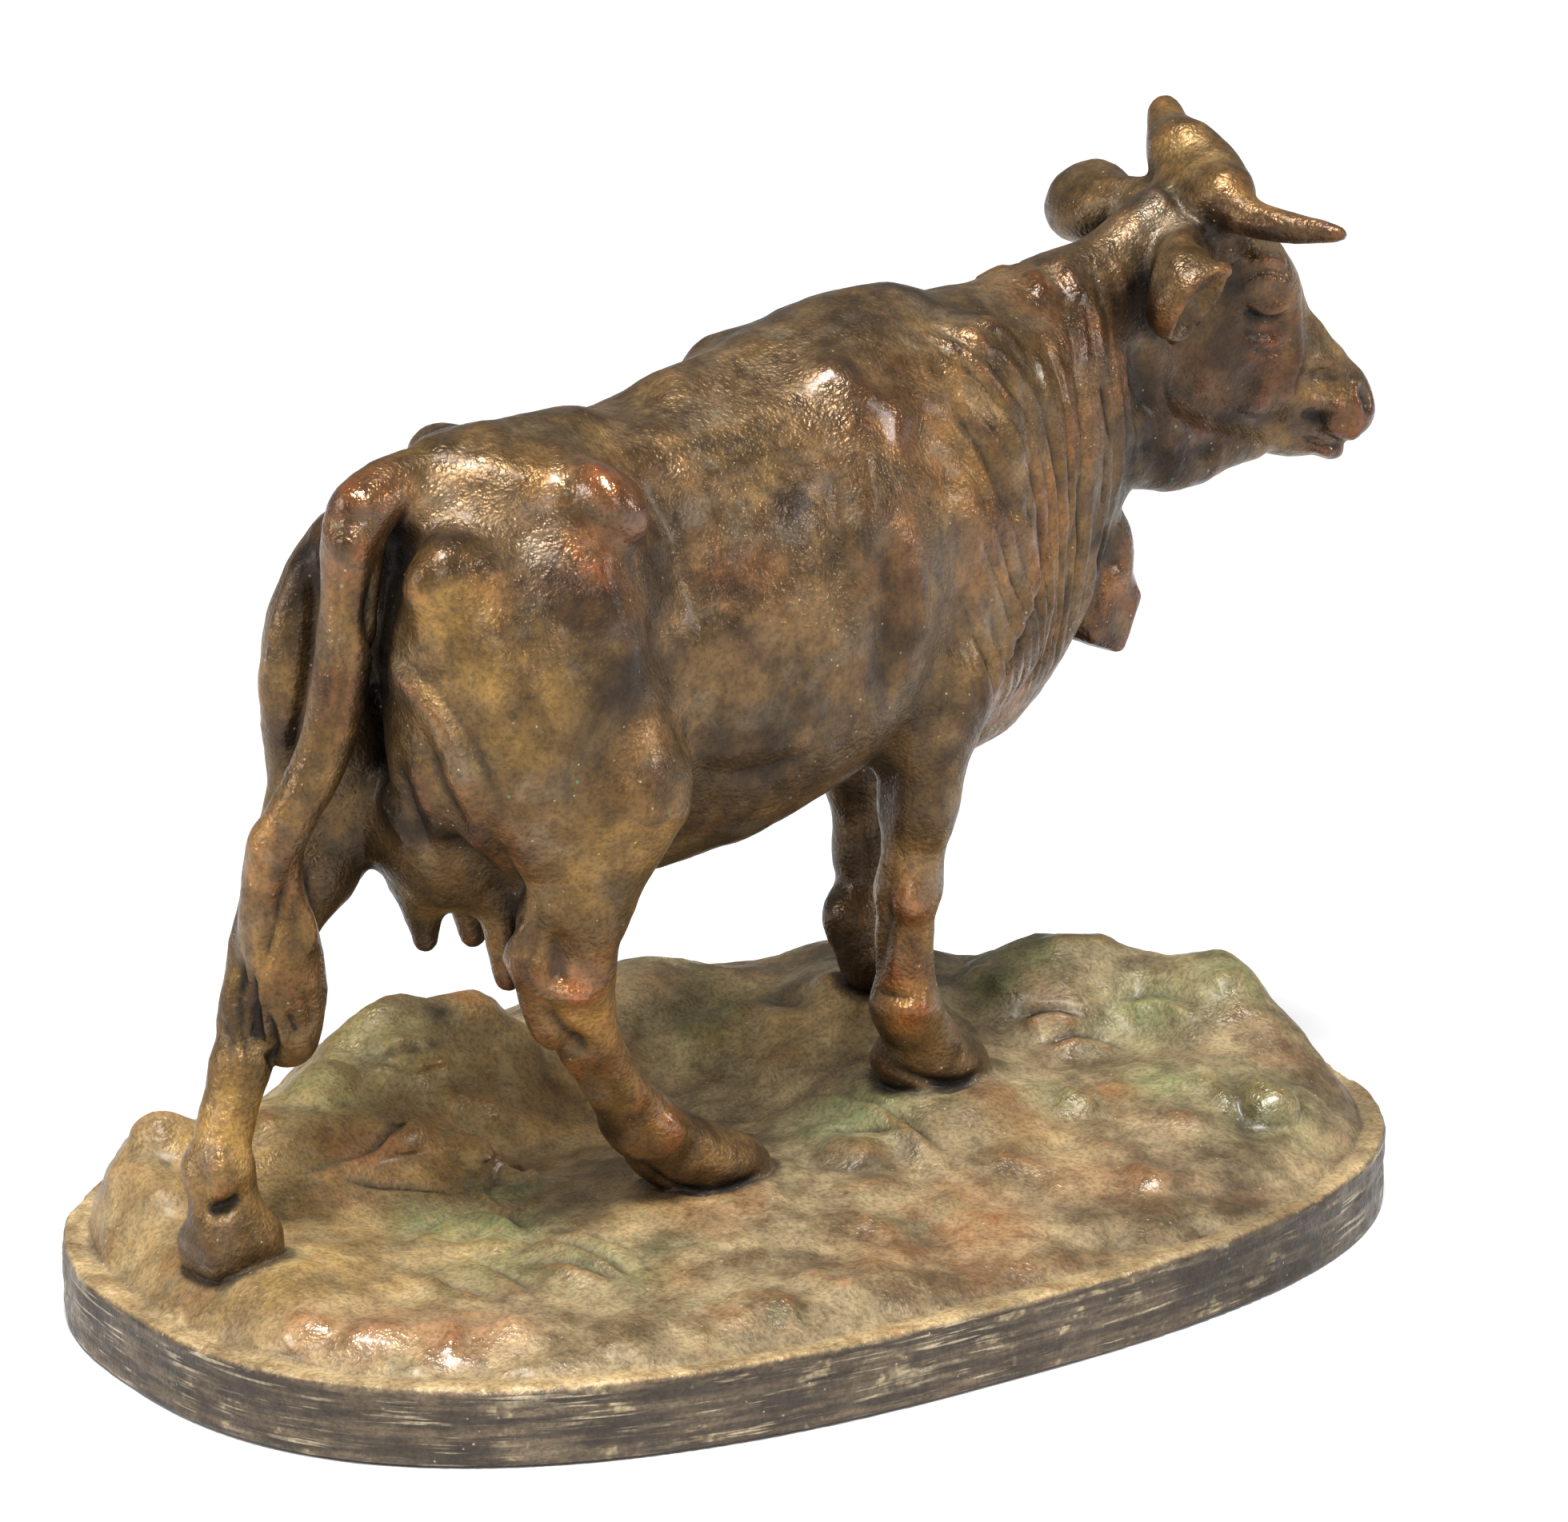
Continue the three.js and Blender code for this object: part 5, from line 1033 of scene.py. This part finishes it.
def lumps(size_mm, detail=3.0, rough=0.55, stretch=(1, 1, 1), offset=0.0, turn=(0, 0, 0), distortion=0.0):
    m = node("ShaderNodeMapping")
    put(m.inputs["Vector"], place)
    m.inputs["Scale"].default_value = stretch
    m.inputs["Rotation"].default_value = turn
    m.inputs["Location"].default_value = (offset, offset * 0.7, -offset * 0.4)
    n = node("ShaderNodeTexNoise", noise_dimensions="3D")
    put(n.inputs["Vector"], m.outputs[0])
    n.inputs["Scale"].default_value = 1000.0 / size_mm
    n.inputs["Detail"].default_value = detail
    n.inputs["Roughness"].default_value = rough
    n.inputs["Distortion"].default_value = distortion
    return n.outputs["Fac"]


def dots(size_mm, low, high, offset=0.0):
    m = node("ShaderNodeMapping")
    put(m.inputs["Vector"], place)
    m.inputs["Location"].default_value = (offset, -offset, offset * 0.5)
    n = node("ShaderNodeTexVoronoi", feature="F1")
    put(n.inputs["Vector"], m.outputs[0])
    n.inputs["Scale"].default_value = 1000.0 / size_mm
    return ramp(n.outputs["Distance"], high, low)


A = {name: attribute(name) for name in ("small", "middle", "near_open", "wide_open", "ground", "side", "ledge", "ochre", "copper", "shade_and_grime_spots", "red", "green", "glaze", "sand", "groove_shade", "crest", "pale")}
cloud, mottle, grain, fine_grain = lumps(42, 3), lumps(14, 3, 0.6, offset=3.1), lumps(5, 2, 0.6, offset=7.7), lumps(1.6, 1, 0.6, offset=1.3)
patchy = lumps(24, 4, 0.62, offset=5.5)

# animal: brown, then ochre wash in the low places, copper on the rubbed high places
skin = blendc(ramp(cloud, 0.38, 0.62), tone(64, 48, 38), tone(112, 88, 60))
skin = blendc(calc("MULTIPLY", ramp(patchy, 0.45, 0.62), 0.55), skin, tone(60, 44, 33))
skin = blendc(calc("MULTIPLY", ramp(lumps(19, 2, 0.6, offset=21.0), 0.52, 0.68), 0.5), skin, tone(112, 104, 92))
skin = blendc(calc("MULTIPLY", ramp(mottle, 0.45, 0.72), 0.6), skin, tone(134, 104, 64))
skin = blendc(calc("MULTIPLY", A["red"], ramp(patchy, 0.35, 0.65, 0.0, 0.7)), skin, tone(118, 60, 34))
wash = calc("MULTIPLY", calc("ADD", A["ochre"], ramp(A["middle"], 0.9, 0.1, 0.0, 0.2)), ramp(patchy, 0.3, 0.62, 0.25, 1.0), True)
skin = blendc(calc("MULTIPLY", wash, 0.8), skin, tone(160, 124, 64))
high = calc("ADD", ramp(A["middle"], 0.3, 2.0), ramp(A["small"], 0.03, 0.25, 0.0, 0.6), True)
rub = calc("MULTIPLY", calc("ADD", calc("MULTIPLY", A["copper"], 1.0), calc("MULTIPLY", high, 0.45)), ramp(mottle, 0.36, 0.6, 0.3, 1.0), True)
skin = blendc(calc("MULTIPLY", calc("MULTIPLY", rub, ramp(patchy, 0.36, 0.58, 0.25, 1.0)), 0.7), skin, tone(164, 92, 48))
streak = lumps(7, 2, 0.6, stretch=(1, 1, 0.22), offset=9.0)
skin = blendc(calc("MULTIPLY", ramp(streak, 0.52, 0.75), 0.35), skin, tone(60, 50, 44))

# painted shade: darker in the deep hollows and where other parts close in, such as between the legs and under the jaw
skin = blendc(calc("MULTIPLY", ramp(A["middle"], -0.1, -1.3), 0.6), skin, tone(50, 38, 29))
skin = blendc(calc("MULTIPLY", ramp(A["wide_open"], 0.66, 0.2), 0.5), skin, tone(44, 33, 25))

# ground: sandy ochre, brown, green leaves, copper on the tops
soil = blendc(ramp(patchy, 0.35, 0.65), tone(104, 86, 60), tone(166, 146, 108))
soil = blendc(calc("MULTIPLY", A["sand"], ramp(mottle, 0.3, 0.6, 0.4, 1.0)), soil, tone(182, 146, 84))
soil = blendc(calc("MULTIPLY", ramp(cloud, 0.5, 0.66), 0.4), soil, tone(140, 94, 58))
soil = blendc(calc("MULTIPLY", high, ramp(mottle, 0.4, 0.6, 0.1, 0.5)), soil, tone(152, 104, 64))
soil = blendc(calc("MULTIPLY", A["crest"], ramp(grain, 0.3, 0.6, 0.2, 0.75)), soil, tone(146, 92, 50))
# painted shade in the ground's hollows
soil = blendc(calc("MULTIPLY", ramp(A["middle"], -0.1, -1.5), 0.6), soil, tone(66, 54, 38))
soil = blendc(calc("MULTIPLY", A["copper"], ramp(grain, 0.3, 0.55, 0.5, 0.9)), soil, tone(160, 98, 50))
soil = blendc(calc("MULTIPLY", A["green"], ramp(grain, 0.3, 0.55, 0.5, 1.0)), soil, tone(122, 134, 86))
soil = blendc(calc("MULTIPLY", ramp(lumps(30, 2, 0.6, offset=12.0), 0.6, 0.72), 0.4), soil, tone(116, 120, 84))
soil = blendc(calc("MULTIPLY", A["glaze"], ramp(grain, 0.35, 0.5, 0.2, 0.6)), soil, tone(176, 134, 98))
rim = blendc(ramp(mottle, 0.35, 0.6), tone(160, 134, 92), tone(200, 174, 128))
rim = blendc(calc("MULTIPLY", ramp(grain, 0.55, 0.7), 0.5), rim, tone(140, 88, 46))
soil = blendc(A["ledge"], soil, rim)
wall_streak = lumps(9, 3, 0.65, stretch=(0.25, 0.25, 2.4), offset=2.0)
wall = blendc(ramp(wall_streak, 0.4, 0.66), tone(74, 64, 54), tone(116, 100, 80))
wall = blendc(calc("MULTIPLY", ramp(lumps(16, 3, 0.7, offset=6.0), 0.56, 0.66), ramp(wall_streak, 0.45, 0.6)), wall, tone(186, 168, 132))
scratch = lumps(4.5, 2, 0.6, stretch=(0.14, 0.14, 3.0), offset=17.0)
wall = blendc(calc("MULTIPLY", ramp(scratch, 0.56, 0.64), ramp(lumps(34, 1, 0.6, offset=18.0), 0.45, 0.58, 0.1, 0.8)), wall, tone(204, 188, 156))
soil = blendc(A["side"], soil, wall)
colour = blendc(A["ground"], skin, soil)

# dust lies on low, upward-facing places; painted shade darkens the closed places, the small creases, the grooves and
# the dark spots
up = node("ShaderNodeSeparateXYZ")
put(up.inputs[0], node("ShaderNodeNewGeometry").outputs["Normal"])
upward = ramp(up.outputs[2], 0.1, 0.9)
dust = calc("MULTIPLY", calc("MULTIPLY", upward, ramp(A["middle"], 0.6, -0.8)), ramp(grain, 0.35, 0.65, 0.4, 1.0))
colour = blendc(calc("MULTIPLY", dust, blendf(A["ground"], 0.2, 0.34)), colour, tone(172, 154, 120))
# painted shade: near-black where the surface is shut in by nearby surface, in small creases and grooves, and on the
# dark spots (partly grime by the rim)
closed = calc("SUBTRACT", 1.0, A["near_open"])
shade_and_grime = calc("ADD", ramp(closed, 0.2, 0.75), calc("MULTIPLY", ramp(A["small"], -0.05, -0.4), 0.6), True)
shade_and_grime = calc("MULTIPLY", shade_and_grime, blendf(A["ground"], 0.95, 0.5))
shade_and_grime = calc("ADD", shade_and_grime, calc("MULTIPLY", calc("MULTIPLY", A["groove_shade"], blendf(A["ground"], 0.66, 0.85)), ramp(grain, 0.3, 0.6, 0.45, 0.9)), True)
shade_and_grime = calc("ADD", shade_and_grime, calc("MULTIPLY", A["shade_and_grime_spots"], ramp(mottle, 0.3, 0.6, 0.4, 1.0)), True)
shade_and_grime = calc("MINIMUM", shade_and_grime, 0.88)
colour = blendc(shade_and_grime, colour, tone(24, 19, 16))
specks = calc("MULTIPLY", dots(5.5, 0.03, 0.10, 1.0), ramp(lumps(40, 1, offset=4.0), 0.42, 0.55))
colour = blendc(calc("MULTIPLY", specks, 0.8), colour, tone(206, 192, 160))
verdigris = calc("MULTIPLY", dots(6, 0.05, 0.16, 2.0), ramp(lumps(26, 1, offset=14.0), 0.58, 0.68))
colour = blendc(calc("MULTIPLY", verdigris, 0.7), colour, tone(122, 150, 122))
colour = blendc(calc("MULTIPLY", ramp(fine_grain, 0.4, 0.7), 0.34), colour, tone(44, 35, 28))

tide = ramp(lumps(21, 3, 0.55, offset=31.0), 0.36, 0.64, 0.68, 1.32)
ripple = ramp(lumps(8, 2, 0.6, offset=41.0), 0.34, 0.66, 0.86, 1.14)
veil = node("ShaderNodeVectorMath", operation="SCALE")
put(veil.inputs[0], colour)
put(veil.inputs[3], blendf(A["ground"], tide, ramp(lumps(28, 2, 0.6, offset=33.0), 0.36, 0.64, 0.82, 1.16)))
colour = veil.outputs[0]
# paler tone on the tail, lower legs and horn roots; painted light on the ground under the animal
veil = node("ShaderNodeVectorMath", operation="SCALE")
put(veil.inputs[0], colour)
put(veil.inputs[3], calc("MULTIPLY", ripple, calc("ADD", calc("MULTIPLY", A["pale"], 0.36), 1.0)))
colour = veil.outputs[0]
gloss = calc("ADD", calc("MULTIPLY", rub, -0.08), ramp(grain, 0.3, 0.7, 0.27, 0.46))
gloss = calc("ADD", gloss, calc("MULTIPLY", wash, 0.12))
gloss = calc("ADD", gloss, calc("MULTIPLY", dust, 0.15))
gloss = calc("ADD", gloss, calc("MULTIPLY", shade_and_grime, 0.15))
gloss = calc("ADD", gloss, calc("MULTIPLY", A["ground"], blendf(ramp(patchy, 0.4, 0.6), 0.04, 0.2)))
gloss = calc("SUBTRACT", gloss, calc("MULTIPLY", A["glaze"], blendf(A["ground"], 0.17, 0.4)), True)

height = calc("ADD", calc("MULTIPLY", fine_grain, 0.85), calc("MULTIPLY", grain, 0.8))
bump = node("ShaderNodeBump")
bump.inputs["Strength"].default_value = 0.58
bump.inputs["Distance"].default_value = 0.0011
put(bump.inputs["Height"], height)

shader = node("ShaderNodeBsdfPrincipled")
put(shader.inputs["Base Color"], blendc(1.0, colour, (0.84, 0.83, 0.82, 1.0), "MULTIPLY"))
put(shader.inputs["Roughness"], gloss)
put(shader.inputs["Normal"], bump.outputs[0])
put(shader.inputs["Metallic"], blendf(A["ground"], 0.5, 0.12))
shader.inputs["IOR"].default_value = 1.55
shader.inputs["Specular IOR Level"].default_value = 0.3
put(shader.inputs["Coat Weight"], calc("ADD", 0.09, calc("MULTIPLY", A["glaze"], 0.8), True))
shader.inputs["Coat Roughness"].default_value = 0.22
shader.inputs["Coat IOR"].default_value = 1.5
out = node("ShaderNodeOutputMaterial")
links.new(shader.outputs[0], out.inputs["Surface"])
mesh.materials.clear()
mesh.materials.append(patina)

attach(cow, "root")
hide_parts("cow_sculpture")


# ---- floor, light, camera -----------------------------------------------------------
floor_mesh = bpy.data.meshes.new("floor")
floor_mesh.from_pydata([(-40, -40, 0), (40, -40, 0), (40, 40, 0), (-40, 40, 0)], [], [(0, 1, 2, 3)])
floor = bpy.data.objects.new("floor", floor_mesh)
bpy.context.scene.collection.objects.link(floor)
floor.location.z = -0.0005
pale = bpy.data.materials.new("pale_floor")
pale.use_nodes = True
pale.node_tree.nodes["Principled BSDF"].inputs["Base Color"].default_value = (0.64, 0.64, 0.64, 1)
pale.node_tree.nodes["Principled BSDF"].inputs["Roughness"].default_value = 0.95
floor_mesh.materials.append(pale)


def light(kind, name, place, target, power, size):
    lamp = bpy.data.lights.new(name, kind)
    lamp.energy = power
    if kind == "SUN":
        lamp.angle = math.radians(size)
    else:
        lamp.shape, lamp.size = "SQUARE", size
    thing = bpy.data.objects.new(name, lamp)
    thing.location = place
    thing.rotation_euler = (Vector(target) - Vector(place)).to_track_quat("-Z", "Y").to_euler()
    bpy.context.scene.collection.objects.link(thing)


light("SUN", "above", (-0.35, -0.5, 1.9), (0.0, 0.0, 0.2), 5.0, 16)
light("AREA", "left", (-1.6, 0.3, 0.8), (0.0, 0.0, 0.2), 10, 0.5)
light("AREA", "front", (-0.7, -1.9, 1.0), (0.0, 0.0, 0.2), 8, 0.5)
light("AREA", "right", (1.2, -1.3, 0.9), (0.05, 0.0, 0.2), 8, 0.3)
world = bpy.data.worlds.new("white")
bpy.context.scene.world = world
world.use_nodes = True
world.node_tree.nodes["Background"].inputs["Color"].default_value = (1, 1, 1, 1)
world.node_tree.nodes["Background"].inputs["Strength"].default_value = 0.24

lens = bpy.data.cameras.new("camera")
camera = bpy.data.objects.new("camera", lens)
bpy.context.scene.collection.objects.link(camera)
lens.sensor_width, lens.lens = 36.0, 124.18
lens.clip_end = 100
camera.location = (-1.0420, -1.5142, 0.6990)
camera.rotation_euler = Vector((0.5519, 0.7882, -0.2723)).to_track_quat("-Z", "Y").to_euler()
bpy.context.scene.camera = camera
bpy.context.scene.view_settings.view_transform = "Standard"
